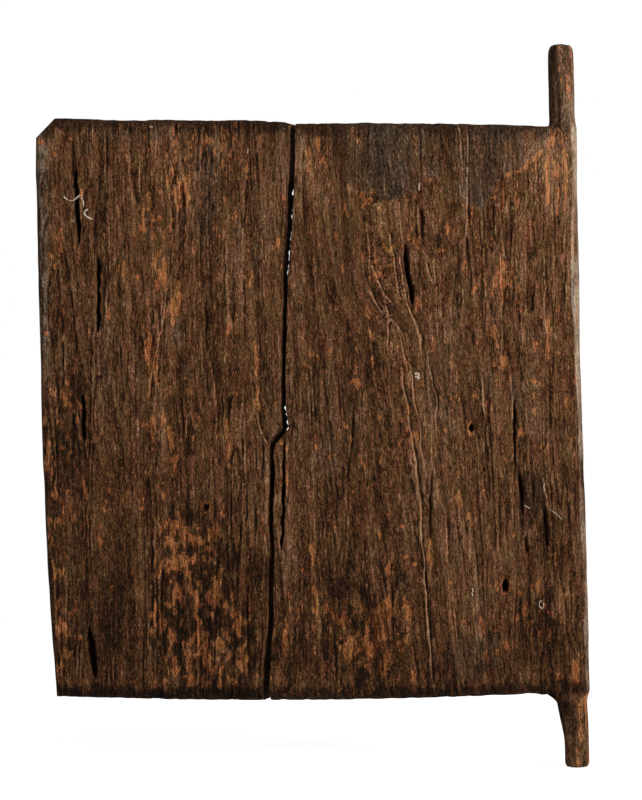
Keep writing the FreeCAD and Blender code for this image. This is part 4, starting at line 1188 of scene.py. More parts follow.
def weather(points, normals, weathered, hidden, relief):
    """Moves each point along its outward direction by the relief of the face that it belongs to,
    and returns the moved points with what the wood's material reads: tone, worn, pale, smoke and
    soot shares, and the distances from thin ridges and from the dark layer's edge.

    The weathered and hidden faces are read from their charts. The edges take torn long grain,
    read by depth and height, the ends short rough grain, read by x and depth, and the pivots
    torn grain read round them. The hinge edge has a lighter strip with pale flakes, partly grey
    wood and partly painted highlight where the key light falls on its rounding."""
    x, y, z = points.T
    front = smooth(*FACING, -normals[:, 1])
    back = smooth(*FACING, normals[:, 1])
    side = 1 - front - back
    end = side * smooth(0.45, 0.8, np.abs(normals[:, 2]))
    side = side - end
    near = {key: read(chart, x, z) for key, chart in weathered.items()}
    far = {key: read(chart, x, z) for key, chart in hidden.items()}
    tear = grain_noise(41, 1.5, 9.0)
    chop = grain_noise(42, 2.6, 3.6)
    turn = np.arctan2(y, x) * 12.0
    along_pivot = np.maximum(smooth(*UPPER_PIVOT_START, z), smooth(*LOWER_PIVOT_START, z))
    on_pivot = smooth(*PIVOT_ACROSS, x) * along_pivot
    round_way = np.where(on_pivot > 0.5, turn, y) - 200.0
    torn = read(tear, round_way, z) + 0.6 * read(grain_noise(43, 4.0, 30.0), round_way * 1.4 - 30, z)
    rough = read(chop, x, y * 3.0 + 300.0)
    in_joint = side * smooth(6.0, 3.0, np.abs(x - joint_left(z, 0) - 4.0))
    chopping = 0.34 * (1 - on_pivot)
    height = front * (near["height"] + adze_wave(x, z, relief.wave, 130.0, 250.0))
    height = height * (1 - on_pivot) + on_pivot * front * np.minimum(0.28 * torn - 0.35, 0.0)
    height += back * ((far["height"] + adze_wave(x, z, relief.wave, 88.0, 156.0)) * (1 - on_pivot))
    jagged = 0.40 * in_joint * read(chop, y * 2.0 - 60.0, z)
    height += side * np.minimum(0.22 * torn + jagged - 0.12, 0.0)
    height += end * np.minimum(chopping * rough - 0.15, 0.1)
    moved = points + normals * height[:, None]

    flaking = smooth(*FLAKING_TOP, z) * smooth(*FLAKING_FOOT, z)
    lower = smooth(*DULLER_BELOW, z)
    inner = 6.0 + smooth(380.0, 300.0, z) + 1.8 * smooth(200.0, 110.0, z) - 1.9 * flaking
    # The lighter strip on the hinge edge: partly grey wood, partly painted highlight where the key light
    # falls on its rounding
    highlit_arris = smooth(inner - 0.7, inner + 0.9, x + 0.5 * torn) * (1 - on_pivot)
    highlit_arris = highlit_arris * (0.62 + 0.38 * smooth(*LIGHTER_ABOVE, z))
    grey_edge = side * smooth(*GREY_FREE_EDGE, x)
    edge_tone = 0.47 + (0.09 + 0.07 * highlit_arris) * torn - 0.12 * in_joint + 0.24 * highlit_arris
    end_tone = 0.28 + 0.07 * rough
    chipped = smooth(*CHIPPED_TOP, z) * smooth(*CHIPPED_FOOT, z)
    lumps = read(chop, round_way + 20.0, z + 100.0)
    pivot_tone = 0.54 + (0.13 - 0.06 * chipped) * torn + 0.13 * chipped * lumps
    # Painted shade on each pivot's left side and painted highlight on its right side, where the key light
    # falls
    pivot_tone = pivot_tone - 0.20 * smooth(-1.0, -5.0, x) + 0.14 * smooth(1.0, 8.0, x)
    tone = front * near["tone"] + back * far["tone"] + side * edge_tone + end * end_tone
    tone = tone * (1 - on_pivot) + on_pivot * pivot_tone
    dull = 1 - 0.25 * lower
    # Painted highlight on the front of the hinge edge's strip, dimmer lower down
    tone += (0.36 + 0.14 * torn) * dull * highlit_arris * front
    worn = front * near["worn"] + back * far["worn"] + side * 0.5 * smooth(0.9, 2.0, torn) * (1 - grey_edge)
    pivot_worn = 0.55 * smooth(0.1, 1.6, torn + 0.9 * chipped * lumps) * smooth(-6.0, 0.0, x)
    pivot_worn = np.maximum(pivot_worn, 0.55 * smooth(48.0, 38.0, z) * smooth(6.0, 9.0, x + 0.6 * torn))
    worn = worn * (1 - on_pivot) + on_pivot * pivot_worn
    pale = (0.66 + 0.22 * flaking) * dull * highlit_arris * (front + 0.7 * side) * smooth(-2.4, 1.0, torn)
    pale = pale * (0.55 + 0.45 * smooth(-0.7, 0.7, read(tear, x + 1.5 * y - 90.0, 600.0 - z)))
    smoke = front * near["smoke"] * (1 - on_pivot) + back * far["smoke"] + 0.6 * grey_edge
    smoke += (0.08 + 0.16 * lower) * highlit_arris * (1 - back)
    smoke += (0.35 - 0.2 * smooth(*CHIPPED_TOP, z)) * on_pivot * (1 - back)
    seam_share = front * near["seam_share"] * (1 - on_pivot)
    soot = front * near["soot"] * (1 - on_pivot)
    return moved, {"tone": tone, "worn": worn, "pale": pale, "smoke": smoke, "soot": soot,
                   "seam": near["seam"], "seam_share": seam_share, "crust_edge": near["crust_edge"]}


def make_piece(name, points, quads, triangles, shares, material, slot_name):
    """A smooth-shaded piece at the origin from points in mm, with each float share at its points
    and the coordinates that its grain follows, riding on the body. Its slot name is not used."""
    mesh = bpy.data.meshes.new(name)
    corners = np.concatenate([quads.ravel(), triangles.ravel()]).astype(np.int32)
    starts = np.concatenate([
        np.arange(len(quads)) * 4,
        len(quads) * 4 + np.arange(len(triangles)) * 3,
    ]).astype(np.int32)
    mesh.vertices.add(len(points))
    mesh.vertices.foreach_set("co", (points * MM).astype(np.float32).ravel())
    mesh.loops.add(len(corners))
    mesh.loops.foreach_set("vertex_index", corners)
    mesh.polygons.add(len(starts))
    mesh.polygons.foreach_set("loop_start", starts)
    mesh.update(calc_edges=True)
    if mesh.validate():
        raise RuntimeError(f"{name} had faces that Blender had to mend")
    mesh.polygons.foreach_set("use_smooth", np.ones(len(starts), bool))
    for key, values in shares.items():
        attribute = mesh.attributes.new(key, "FLOAT", "POINT")
        attribute.data.foreach_set("value", values.astype(np.float32))
    grain = np.stack([grain_lines(points[:, 0], points[:, 2]), points[:, 1], points[:, 2]], axis=-1)
    lines = mesh.attributes.new("grain", "FLOAT_VECTOR", "POINT")
    lines.data.foreach_set("vector", (grain * MM).astype(np.float32).ravel())
    piece = bpy.data.objects.new(name, mesh)
    bpy.context.scene.collection.objects.link(piece)
    mesh.materials.append(material)
    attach(piece, BODY)
    return piece


def bar_along(path, sides, tangents, widths, thicknesses, squareness=4.0, around=24):
    """Points of a bar: at each place on the path a superellipse, whose shares of its half sizes,
    raised to squareness, add up to one. Its thickness lies along the side direction, and its
    width across that and the path."""
    turn = np.linspace(0, 2 * math.pi, around, endpoint=False)
    power = 2 / squareness
    out = np.sign(np.cos(turn)) * np.abs(np.cos(turn)) ** power
    up = np.sign(np.sin(turn)) * np.abs(np.sin(turn)) ** power
    tall = np.cross(sides, tangents)
    flat = sides[:, None, :] * (out[None, :] * thicknesses[:, None] / 2)[..., None]
    high = tall[:, None, :] * (up[None, :] * widths[:, None] / 2)[..., None]
    return path[:, None, :] + flat + high


def close_bar(skin, bar, path):
    """Adds a bar's rings to a skin, and closes both ends at the ends of its path."""
    numbers = skin.add(bar)
    skin.fan(numbers[0], path[0])
    groups = len(skin.quads), len(skin.triangles)
    skin.sheet(numbers, closed=True)
    skin.fan(numbers[-1], path[-1])
    skin.turned(*groups)


def staple_piece(name, tilt, material, relief):
    """One staple: a flat bar along leg, bend, crown, bend and leg, forged to points.

    The path is a line, a quarter circle, a line, a quarter circle and a line. The hammer's
    dents are a product of sines along the bar, and all of them go inwards."""
    low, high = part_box(name)
    cx, cz = (low.x + high.x) / 2 / MM, (low.z + high.z) / 2 / MM
    tip_y, crown_y = low.y / MM, high.y / MM
    half = STAPLE_SPAN / 2
    bend = STAPLE_BEND + STAPLE_THICKNESS / 2
    crown = crown_y - STAPLE_THICKNESS / 2
    spring = crown - bend
    leg = np.linspace(tip_y, spring, 26)[:-1]
    turn = np.linspace(0, math.pi / 2, 12)
    top = np.linspace(-(half - bend), half - bend, 70)[1:-1]
    left = [np.stack([leg * 0 - half, leg], axis=-1),
            np.stack([-half + bend * (1 - np.cos(turn)), spring + bend * np.sin(turn)], axis=-1)]
    flat = np.concatenate(left)
    mirror = flat[::-1] * (-1, 1)
    line = np.concatenate([flat, np.stack([top, top * 0 + crown], axis=-1), mirror])
    way = np.gradient(line, axis=0)
    way = way / np.linalg.norm(way, axis=1, keepdims=True)
    path = np.stack([line[:, 0], line[:, 1], line[:, 0] * 0], axis=-1)
    tangents = np.stack([way[:, 0], way[:, 1], way[:, 0] * 0], axis=-1)
    sides = np.stack([-way[:, 1], way[:, 0], way[:, 0] * 0], axis=-1)
    broad = STAPLE_END_WIDTH + (STAPLE_WIDTH - STAPLE_END_WIDTH) * (1 - (line[:, 0] / half) ** 2)
    drawn = smooth(tip_y - 1.0, (tip_y + crown) / 2, line[:, 1])
    widths = STAPLE_POINT + (broad - STAPLE_POINT) * drawn
    thick = STAPLE_POINT + (STAPLE_THICKNESS - STAPLE_POINT) * drawn
    skin = Skin()
    close_bar(skin, bar_along(path, sides, tangents, widths, thick), path)
    points, quads, triangles = skin.joined()
    normals = outward(points, quads, triangles)
    swell = np.sin(points[:, 0] * 0.62 + 2) * np.sin(points[:, 2] * 0.8 + points[:, 1] * 0.5)
    dents = relief.hammer * (0.5 + 0.5 * np.sin(points[:, 0] * 1.05 + points[:, 2] * 0.7) * swell)
    points = points - normals * dents[:, None]
    angle = math.radians(tilt)
    x, y, z = points.T
    points = np.stack([cx + x * math.cos(angle) + z * math.sin(angle), y,
                       cz + z * math.cos(angle) - x * math.sin(angle)], axis=-1)
    piece = make_piece(name + "_forged", points, quads, triangles, {}, material, "forged_iron")
    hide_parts(name)
    return piece


def strand_skin(skin, corners, radius, face):
    """One caught strand: a tube along a curve through its corners, lying on the face.

    The curve is a Catmull-Rom spline, four corners to a stretch, and the tube is drawn out
    thin at both ends."""
    px, py = np.array(corners).T
    x, z = from_pixels(px, py)
    knots = np.stack([x, z], axis=-1)
    knots = np.concatenate([[2 * knots[0] - knots[1]], knots, [2 * knots[-1] - knots[-2]]])
    t = np.linspace(0, 1, 8, endpoint=False)[:, None]
    stretches = []
    for a, b, c, d in zip(knots[:-3], knots[1:-2], knots[2:-1], knots[3:]):
        square, cube = 2 * a - 5 * b + 4 * c - d, 3 * b - a - 3 * c + d
        stretches.append((2 * b + (c - a) * t + square * t ** 2 + cube * t ** 3) / 2)
    line = np.concatenate([*stretches, knots[-2:-1]])
    share = np.linspace(0, 1, len(line))
    wobble = 0.25 * np.sin(share * 31 + radius * 40)
    y = -half_thickness(line[:, 0]) - read(face, line[:, 0], line[:, 1]) - 1.1 * radius + wobble - 0.3
    y = np.maximum(y, CAD_BOX[0][1] / MM + 0.15 + 1.7 * radius)
    path = np.stack([line[:, 0], y, line[:, 1]], axis=-1)
    way = np.gradient(path, axis=0)
    way = way / np.linalg.norm(way, axis=1, keepdims=True)
    across = np.cross(way, np.array([0.0, -1.0, 0.0]))
    across = across / np.linalg.norm(across, axis=1, keepdims=True)
    drawn_out = np.sqrt(np.clip(1 - (2 * share - 1) ** 6, 0.03, 1))
    sizes = 2 * radius * drawn_out * (1 + 0.3 * np.sin(share * 17))
    close_bar(skin, bar_along(path, across, way, sizes, sizes * 1.3, squareness=2.0, around=8), path)


def add(tree, kind, inputs=None, out=0, **settings):
    """Adds a node with its settings, links or sets its inputs, and returns one of its outputs."""
    node = tree.nodes.new("ShaderNode" + kind)
    stops = settings.pop("stops", None)
    for key, value in settings.items():
        setattr(node, key, value)
    for key, value in (inputs or {}).items():
        if isinstance(value, bpy.types.NodeSocket):
            tree.links.new(value, node.inputs[key])
        else:
            node.inputs[key].default_value = value
    if stops:
        elements = node.color_ramp.elements
        while len(elements) < len(stops):
            elements.new(0.5)
        for element, (position, colour) in zip(elements, stops):
            element.position = position
            element.color = colour
    return node.outputs[out] if node.outputs else None


def new_material(name):
    """An empty node material and its tree."""
    material = bpy.data.materials.new(name)
    material.use_nodes = True
    material.node_tree.nodes.clear()
    return material, material.node_tree


def stretched_noise(tree, lines, across, along, seed, detail=3.0, roughness=0.6):
    """Noise whose grains are this many mm across and along the wood's grain."""
    scaled = add(tree, "Mapping", {
        "Vector": lines,
        "Location": (seed, seed * 1.7, seed * 0.6),
        "Scale": (1000 / across, 1000 / across, 1000 / along),
    })
    return add(tree, "TexNoise", {"Vector": scaled, "Scale": 1.0, "Detail": detail, "Roughness": roughness})


def weathered_wood(colours):
    """Hardwood, hewn with an adze and weathered outdoors.

    Rain has eaten the soft wood from between the fibres, so the eye sees short raised threads,
    tan where they are rubbed and near black between them, with orange where a flake has gone."""
    material, tree = new_material(WOOD_NAME)
    lines = add(tree, "Attribute", out="Vector", attribute_name="grain")
    tone, worn, pale, smoke, seam, seam_share, crust_edge, soot = (
        add(tree, "Attribute", out="Fac", attribute_name=name)
        for name in ("tone", "worn", "pale", "smoke", "seam", "seam_share", "crust_edge", "soot")
    )

    def noise(*measures, **settings):
        """Noise stretched along this wood's grain."""
        return stretched_noise(tree, lines, *measures, **settings)

    # Real fibres are a few hundredths of a mm wide: they are drawn as bundles that a pixel shows
    threads = noise(1.3, 4.0, 3.1, detail=1.5)
    grit = noise(1.1, 1.6, 9.4, detail=1.0)
    streaks = noise(1.9, 110.0, 5.3, detail=2.0)
    strands = noise(4.6, 58.0, 7.7, detail=2.0)
    slabs = noise(9.0, 62.0, 4.2)
    flakes = noise(3.0, 7.0, 6.3)
    stains = noise(34.0, 90.0, 1.3, detail=2.5, roughness=0.5)
    checks = noise(4.4, 52.0, 5.9, detail=2.0)
    hue = noise(1.8, 4.2, 2.6, detail=2.0)
    drift = noise(12.0, 34.0, 8.2)
    flecks = noise(2.2, 5.0, 8.8)

    def scaled(value, factor, shift=0.0):
        """The value times a factor, plus a shift."""
        return add(tree, "Math", {0: value, 1: factor, 2: shift}, operation="MULTIPLY_ADD")

    def centred(value, factor):
        """The value times a factor, moved so that a half gives nought."""
        return scaled(value, factor, -factor / 2)

    def times(a, b):
        """The product of two values."""
        return add(tree, "Math", {0: a, 1: b}, operation="MULTIPLY")

    def plus(first, *others):
        """The sum of all these values."""
        for other in others:
            first = add(tree, "Math", {0: first, 1: other}, operation="ADD")
        return first

    def mapped(value, low, high, start=0.0, end=1.0):
        """The value carried from one range to another, cut off at its ends."""
        return add(tree, "MapRange", {"Value": value, "From Min": low, "From Max": high,
                                      "To Min": start, "To Max": end})

    def near_middle(value, reach, middle=0.5, flat=0.0):
        """One within flat of the middle, falling to nought at the reach."""
        size = add(tree, "Math", {0: scaled(value, 1.0, -middle)}, operation="ABSOLUTE")
        return mapped(size, flat, reach, 1.0, 0.0)

    def multiplied(colour, by, share=1.0):
        """A colour multiplied by another."""
        return add(tree, "MixRGB", {"Fac": share, "Color1": colour, "Color2": by}, blend_type="MULTIPLY")

    def mixed(share, colour, other):
        """A colour with a share of another in it."""
        return add(tree, "MixRGB", {"Fac": share, "Color1": colour, "Color2": other})

    def ramp(value, *stops):
        """The colour at a value between these stops."""
        return add(tree, "ValToRGB", {"Fac": value}, stops=stops)

    ridge = near_middle(strands, 0.020)
    # Painted shade in a thin line beside each pale strand, also a shallow groove in the bump
    shaded_gully = near_middle(strands, 0.030, middle=0.545)
    # Along each thin ridge: a painted highlight on its crest and painted shade in the groove on its right,
    # both also in the bump
    wavered = plus(seam, centred(threads, 1.2), centred(flakes, 1.8))
    broken = times(seam_share, mapped(grit, 0.34, 0.52, 0.5, 1.0))
    lit_crest_line = times(near_middle(wavered, 1.0, middle=0.0, flat=0.35), broken)
    shaded_groove_line = times(near_middle(wavered, 1.3, middle=1.5, flat=0.2), broken)
    # Painted shade in the thin checks, also cut into the bump
    check = near_middle(checks, 0.012)
    slab = mapped(slabs, 0.49, 0.52)
    flake = mapped(flakes, 0.50, 0.55)
    # Painted highlight along one edge of each slab, and painted shade in a line just beyond it
    rim = near_middle(slabs, 0.011)
    under = near_middle(slabs, 0.011, middle=0.52)
    crusted = mapped(plus(crust_edge, centred(threads, 2.4), centred(flakes, 2.4)), -0.3, 0.3)
    film_share = times(crusted, soot)

    fine = plus(centred(threads, 0.76), centred(grit, 0.90), centred(streaks, 0.55))
    broad = plus(centred(stains, 0.70), scaled(ridge, 0.22, -0.03), scaled(check, -0.34))
    # The slab edges' painted highlight and shade and the strands' painted shade go into the layers
    layers = plus(centred(slab, 0.05), scaled(flake, 0.04, -0.015), scaled(rim, 0.15, -0.01),
                  scaled(under, -0.16), scaled(shaded_gully, -0.14, 0.03))
    # The thin ridges' painted highlights and painted shade go into the level
    drawn = plus(scaled(lit_crest_line, 0.98), scaled(shaded_groove_line, -0.62), scaled(crusted, 0.03),
                 scaled(film_share, -0.17))
    # The level is the wood's own tone with the painted highlights and painted shade above in it
    level = plus(tone, fine, broad, layers, drawn)

    brown = ramp(level, (0.00, colours.hollow), (0.25, colours.dark), (0.50, colours.middle),
                 (0.75, colours.rubbed), (1.0, colours.thread))
    tint_level = plus(scaled(hue, 1.1), scaled(drift, 0.7, -0.4))
    tint = ramp(tint_level, (0.34, colours.olive), (0.50, colours.neutral), (0.66, colours.russet))
    smoky = plus(smoke, film_share, mapped(stains, 0.54, 0.68, 0.0, 0.2))
    film = ramp(level, (0.0, colours.hollow), (0.5, colours.smoke), (1.0, colours.ash))
    orange_level = plus(worn, centred(threads, 0.5), centred(flecks, 1.3))
    orange_share = mapped(orange_level, 0.42, 0.54, 0.0, 0.85)
    orange = ramp(level, (0.12, colours.ember), (0.52, colours.orange), (0.9, colours.chip))
    seat = scaled(near_middle(scaled(orange_level, 1.0, 0.14), 0.09), 0.6)
    pale_share = times(pale, mapped(threads, 0.34, 0.58, 0.5, 1.4))
    aged = mixed(seat, mixed(smoky, multiplied(brown, tint), film), colours.hollow)
    colour = mixed(orange_share, aged, multiplied(orange, tint))
    colour = mixed(pale_share, colour, colours.pale)

    rough = mapped(level, 0.2, 0.9, 0.95, 0.72)
    height = plus(scaled(threads, 0.55), scaled(grit, 0.40), scaled(slab, 0.32), scaled(flake, 0.16),
                  scaled(ridge, 0.16), scaled(check, -0.3), scaled(lit_crest_line, 0.4),
                  scaled(shaded_groove_line, -0.4), scaled(shaded_gully, -0.12))
    bump = add(tree, "Bump", {"Height": height, "Strength": 1.0, "Distance": 0.0026})
    shader = add(tree, "BsdfPrincipled", {
        "Base Color": colour, "Roughness": rough, "Normal": bump, "IOR": 1.5,
        "Specular IOR Level": 0.14,
    })
    add(tree, "OutputMaterial", {"Surface": shader})
    return material


def forged_iron(colours):
    """Wrought iron, hammered hot and rusted thin.

    Scale and thin rust, in patches, give the eye a dull dark skin."""
    material, tree = new_material("hammered rusted wrought iron")
    place = add(tree, "TexCoord", out="Object")
    rust = add(tree, "TexNoise", {"Vector": place, "Scale": 1000 / 6.0, "Detail": 5.0, "Roughness": 0.7})
    grit = add(tree, "TexNoise", {"Vector": place, "Scale": 1000 / 0.8, "Detail": 3.0})
    share = add(tree, "MapRange", {"Value": rust, "From Min": 0.42, "From Max": 0.62})
    colour = add(tree, "MixRGB", {"Fac": share, "Color1": colours.iron, "Color2": colours.rust})
    height = add(tree, "Math", {0: rust, 1: 0.6, 2: grit}, operation="MULTIPLY_ADD")
    bump = add(tree, "Bump", {"Height": height, "Strength": 0.6, "Distance": 0.0004})
    metal = add(tree, "MapRange", {"Value": share, "To Min": 0.85, "To Max": 0.1})
    rough = add(tree, "MapRange", {"Value": share, "To Min": 0.5, "To Max": 0.85})
    shader = add(tree, "BsdfPrincipled", {
        "Base Color": colour, "Metallic": metal, "Roughness": rough, "Normal": bump,
    })
    add(tree, "OutputMaterial", {"Surface": shader})
    return material


def dry_bast(colours):
    """Dry bast fibre, bleached by the sun: pale matt threads, slightly uneven in colour."""
    material, tree = new_material("bleached bast fibre")
    place = add(tree, "TexCoord", out="Object")
    uneven = add(tree, "TexNoise", {"Vector": place, "Scale": 1000 / 1.5, "Detail": 2.0})
    colour = add(tree, "MixRGB", {"Fac": uneven, "Color1": colours.pale, "Color2": colours.bast})
    shader = add(tree, "BsdfPrincipled", {"Base Color": colour, "Roughness": 0.8})
    add(tree, "OutputMaterial", {"Surface": shader})
    return material


def colour_of(name, description, code):
    """A colour setting with its default from an sRGB hex code."""
    return bpy.props.FloatVectorProperty(
        name=name, description=description, subtype="COLOR", size=4, min=0.0, max=1.0,
        default=linear(code),
    )


def length_of(name, description, millimetres):
    """A length setting, kept in mm because every relief here is worked out in mm."""
    return bpy.props.FloatProperty(name=name, description=description, default=millimetres, soft_min=0.0)


class LeafRelief(bpy.types.PropertyGroup):
    """Heights of the leaf's relief, in mm."""

    wave: length_of("Adze wave", "Height of the long waves on both faces, in mm", 0.7)
    rib: length_of("Late-wood ribs", "Height of the long ribs, in mm", 0.4)
    flake: length_of("Flakes", "Step between the flakes and the wood below them, in mm", 0.4)
    layer: length_of("Layers", "Height of a layer that long splinters have left, in mm", 0.55)
    fibre: length_of("Fibres", "Height of short fibres, in mm", 0.16)
    tuft: length_of("Tufts", "Height of longer tufts of fibre, in mm", 0.2)
    scallop: length_of("Scallops", "Depth share of the adze's scallops on the hidden face", 0.8)
    hammer: length_of("Hammer dents", "Depth of the hammer's dents in the staples, in mm", 0.28)


class LeafColours(bpy.types.PropertyGroup):
    """Colours of the wood, the iron and what sticks to them."""

    hollow: colour_of("Hollows", "Dirt between the fibres", "#140a03")
    dark: colour_of("Dark wood", "Stained wood low in the relief", "#3b230e")
    middle: colour_of("Wood", "The general brown of the wood", "#604127")
    rubbed: colour_of("Rubbed wood", "Ribs that stand up", "#805d43")
    thread: colour_of("Threads", "Bleached fibres on the ribs", "#af886a")
    smoke: colour_of("Smoke", "Violet-grey film over old wood", "#4b3b2b")
    ash: colour_of("Ash", "The lightest of that film", "#8f7b68")
    olive: colour_of("Olive tint", "Multiplies the brown where it has gone green", "#eff2cf")
    neutral: colour_of("Neutral tint", "Multiplies the brown elsewhere", "#fbf2ea")
    russet: colour_of("Russet tint", "Multiplies the brown where it is reddish", "#ffddd2")
    ember: colour_of("Ember", "Deep parts of fresh wood", "#48270f")
    orange: colour_of("Fresh wood", "Orange wood where a flake has gone", "#965f38")
    chip: colour_of("Chip", "Lightest fresh wood", "#c5885a")
    pale: colour_of("Pale flecks", "Lime and husk that stick to the face", "#c9b8a2")
    bast: colour_of("Bast", "Shaded side of a caught fibre", "#a08c74")
    iron: colour_of("Iron", "Bare scale on the staples", "#4b4744")
    rust: colour_of("Rust", "Thin rust on the staples", "#4a2c1c")


class LeafStudio(bpy.types.PropertyGroup):
    """The studio round the leaf."""

    key: bpy.props.FloatProperty(
        name="Key light", description="Power of the large light on the right", default=76.0, unit="POWER")
    fill: bpy.props.FloatProperty(
        name="Fill", description="Strength of the even light from all round", default=0.22, min=0.0)
    floor_reach: bpy.props.FloatProperty(
        name="Floor reach", description="Radius of the floor", default=1.5, unit="LENGTH")


def wood():
    """The wood material, made once."""
    found = bpy.data.materials.get(WOOD_NAME)
    return found or weathered_wood(bpy.context.scene.leaf_colours)


def build_plank(name, node, plank, weathered, hidden):
    """Builds, weathers and places one plank."""
    relief = bpy.context.scene.leaf_relief
    points, quads, triangles = plank_skin(plank)
    normals = outward(points, quads, triangles)
    moved, shares = weather(points, normals, weathered, hidden, relief)
    piece = make_piece(name, moved, quads, triangles, shares, wood(), "weathered_wood")
    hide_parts(node)


# Charts of the two faces that were worked out already, by their reliefs
FACES = {}


def faces(relief):
    """The charts of both faces, worked out once for each set of reliefs."""
    key = tuple(getattr(relief, name) for name in LeafRelief.__annotations__)
    if key not in FACES:
        FACES[key] = weathered_face(relief), hidden_face(relief)
    return FACES[key]


class LEAF_OT_planks(bpy.types.Operator):
    """Build both weathered planks, the wide one with its pivots"""

    bl_idname = "leaf.planks"
    bl_label = "Planks"

    def execute(self, context):
        """Reads the two faces' charts and builds both planks from them."""
        weathered, hidden = faces(context.scene.leaf_relief)
        side = edge_steps(ROUND_STEPS, STRAIGHT_STEPS, BACK_STEPS)
        stile = edge_steps(STILE_ROUND_STEPS, STILE_STRAIGHT_STEPS, STILE_BACK_STEPS)
        narrow = Plank((lambda z, _: free_edge(z), joint_left), (FREE_EDGE_ROUND, JOINT_ROUND),
                       NARROW_COLUMNS, NARROW_ROWS, side, False)
        wide = Plank((joint_right, lambda z, _: STILE_EDGE + stray(STILE_STRAY, z)),
                     (JOINT_ROUND, STILE_ROUND), WIDE_COLUMNS, WIDE_ROWS, stile, True)
        build_plank("free_edge_plank_weathered", "free_edge_plank", narrow, weathered, hidden)
        build_plank("hinge_plank_weathered", "hinge_plank", wide, weathered, hidden)
        return {"FINISHED"}


class LEAF_OT_staples(bpy.types.Operator):
    """Build the three forged staples on the hidden face"""

    bl_idname = "leaf.staples"
    bl_label = "Staples"

    def execute(self, context):
        """Forges each staple in its node's box."""
        iron = forged_iron(context.scene.leaf_colours)
        for name, tilt in STAPLES:
            staple_piece(name, tilt, iron, context.scene.leaf_relief)
        return {"FINISHED"}


class LEAF_OT_caught_fibres(bpy.types.Operator):
    """Lay the pale fibres and bits of husk that are caught on the weathered face"""

    bl_idname = "leaf.caught_fibres"
    bl_label = "Caught fibres"

    def execute(self, context):
        """Lays every strand on the face, level over the slit that it bridges."""
        weathered, _ = faces(context.scene.leaf_relief)
        face = blurred(weathered["height"], 5.0, 6.0)
        skin = Skin()
        for corners, radius in STRANDS:
            strand_skin(skin, corners, radius, np.maximum(face, -0.9))
        bast = dry_bast(context.scene.leaf_colours)
        make_piece("caught_fibres", *skin.joined(), {}, bast, None)
        return {"FINISHED"}


class LEAF_OT_studio(bpy.types.Operator):
    """Set up the floor, the lights, the world and the camera"""

    bl_idname = "leaf.studio"
    bl_label = "Studio"

    def execute(self, context):
        """Builds the stage and stands the camera where the photograph was taken from."""
        studio = context.scene.leaf_studio
        studio_floor(studio)
        studio_lights(studio)
        studio_world(studio)
        studio_camera()
        return {"FINISHED"}


def studio_floor(studio):
    """A pale round floor under the lower pivot: rings of a disc, level at the pivot's foot."""
    turn = np.linspace(0, 2 * math.pi, 96, endpoint=False)
    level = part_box("hinge_plank")[0].z
    rim = np.stack([studio.floor_reach * np.cos(turn) - 0.2, studio.floor_reach * np.sin(turn),
                    0 * turn + level], axis=-1)
    mesh = bpy.data.meshes.new("floor")
    mesh.from_pydata([(-0.2, 0.0, level), *rim.tolist()], [],
                     [(0, i + 1, (i + 1) % len(turn) + 1) for i in range(len(turn))])
    floor = bpy.data.objects.new("floor", mesh)
    bpy.context.scene.collection.objects.link(floor)
    material, tree = new_material("pale studio floor")
    camera_ray = add(tree, "LightPath", out="Is Camera Ray")
    matt = add(tree, "BsdfDiffuse", {"Color": linear("#dcdcdc")})
    glow = add(tree, "Emission", {"Color": linear("#ffffff"), "Strength": 0.84})
    both = add(tree, "AddShader", {0: matt, 1: glow})
    seen = add(tree, "MixShader", {0: camera_ray, 1: matt, 2: both})
    add(tree, "OutputMaterial", {"Surface": seen})
    mesh.materials.append(material)


def studio_lights(studio):
    """One large soft light to the right of the face, above it, and a weak one low on the left."""
    target = Vector((-0.2, 0.0, 0.3))
    for name, place, size, power in (
        ("key", (1.75, -1.75, 1.15), 0.9, studio.key),
        ("left_fill", (-1.9, -1.5, 0.5), 1.2, studio.key * 0.10),
    ):
        lamp = bpy.data.lights.new(name, "AREA")
        lamp.shape = "SQUARE"
        lamp.size = size
        lamp.energy = power
        stand = bpy.data.objects.new(name, lamp)
        stand.location = place
        stand.rotation_euler = (target - Vector(place)).to_track_quat("-Z", "Y").to_euler()
        bpy.context.scene.collection.objects.link(stand)


def studio_world(studio):
    """White to the camera and in reflections, and an even fill light to everything else."""
    world = bpy.data.worlds.new("studio")
    world.use_nodes = True
    tree = world.node_tree
    tree.nodes.clear()
    camera_ray = add(tree, "LightPath", out="Is Camera Ray")
    glossy = add(tree, "LightPath", out="Is Glossy Ray")
    through = add(tree, "LightPath", out="Is Transmission Ray")
    seen = add(tree, "Math", {0: camera_ray, 1: through}, operation="MAXIMUM")
    mirrored = add(tree, "Math", {0: glossy, 1: 0.3}, operation="MULTIPLY")
    seen = add(tree, "Math", {0: seen, 1: mirrored}, operation="MAXIMUM")
    strength = add(tree, "MapRange", {"Value": seen, "To Min": studio.fill, "To Max": 1.0})
    light = add(tree, "Background", {"Color": linear("#ffffff"), "Strength": strength})
    add(tree, "OutputWorld", {"Surface": light})
    bpy.context.scene.world = world


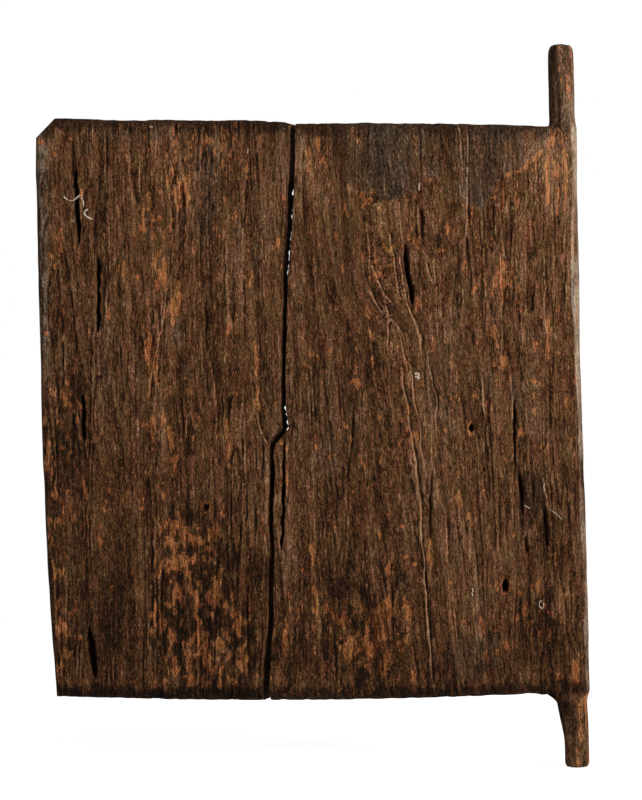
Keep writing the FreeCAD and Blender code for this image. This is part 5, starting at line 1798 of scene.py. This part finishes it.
def studio_camera():
    """A camera square to the face, rolled by the photograph's lean, that frames what it framed."""
    centre_x, centre_z = at_outline(PICTURE_WIDTH / 2, PICTURE_HEIGHT / 2)
    stretch = math.hypot(1, LEAN)
    camera = bpy.data.cameras.new("camera")
    camera.lens = LENS
    camera.sensor_width = SENSOR
    camera.clip_end = 50.0
    right = Vector((1, 0, -LEAN)) / stretch
    up = Vector((LEAN, 0, 1)) / stretch
    back = Vector((0, -1, 0))
    turn = Matrix((right, up, back)).transposed().to_4x4()
    place = Vector((centre_x, OUTLINE_PLANE - camera_distance(), centre_z)) * MM
    stand = bpy.data.objects.new("camera", camera)
    stand.matrix_world = Matrix.Translation(place) @ turn
    bpy.context.scene.collection.objects.link(stand)
    bpy.context.scene.camera = stand
    bpy.context.scene.view_settings.view_transform = "Standard"


class LEAF_PT_panel(bpy.types.Panel):
    """The leaf's pieces, each with its button"""

    bl_label = "Door leaf"
    bl_space_type = "VIEW_3D"
    bl_region_type = "UI"
    bl_category = "Door leaf"

    def draw(self, context):
        """Lists the operators and the settings that they read."""
        for operator in OPERATORS:
            self.layout.operator(operator.bl_idname)
        for group in (context.scene.leaf_relief, context.scene.leaf_colours, context.scene.leaf_studio):
            for key in group.__annotations__:
                self.layout.prop(group, key)


OPERATORS = (LEAF_OT_planks, LEAF_OT_staples, LEAF_OT_caught_fibres, LEAF_OT_studio)
GROUPS = {"leaf_relief": LeafRelief, "leaf_colours": LeafColours, "leaf_studio": LeafStudio}
CLASSES = (*GROUPS.values(), *OPERATORS, LEAF_PT_panel)


def register():
    """Registers every class and hangs the settings on the scene."""
    for cls in CLASSES:
        bpy.utils.register_class(cls)
    for name, group in GROUPS.items():
        setattr(bpy.types.Scene, name, bpy.props.PointerProperty(type=group))


def unregister():
    """Takes the settings and the classes away again."""
    for name in GROUPS:
        delattr(bpy.types.Scene, name)
    for cls in reversed(CLASSES):
        bpy.utils.unregister_class(cls)


def main():
    """Builds everything in order."""
    register()
    bpy.ops.leaf.planks()
    bpy.ops.leaf.staples()
    bpy.ops.leaf.caught_fibres()
    bpy.ops.leaf.studio()


if __name__ == "__main__":
    main()
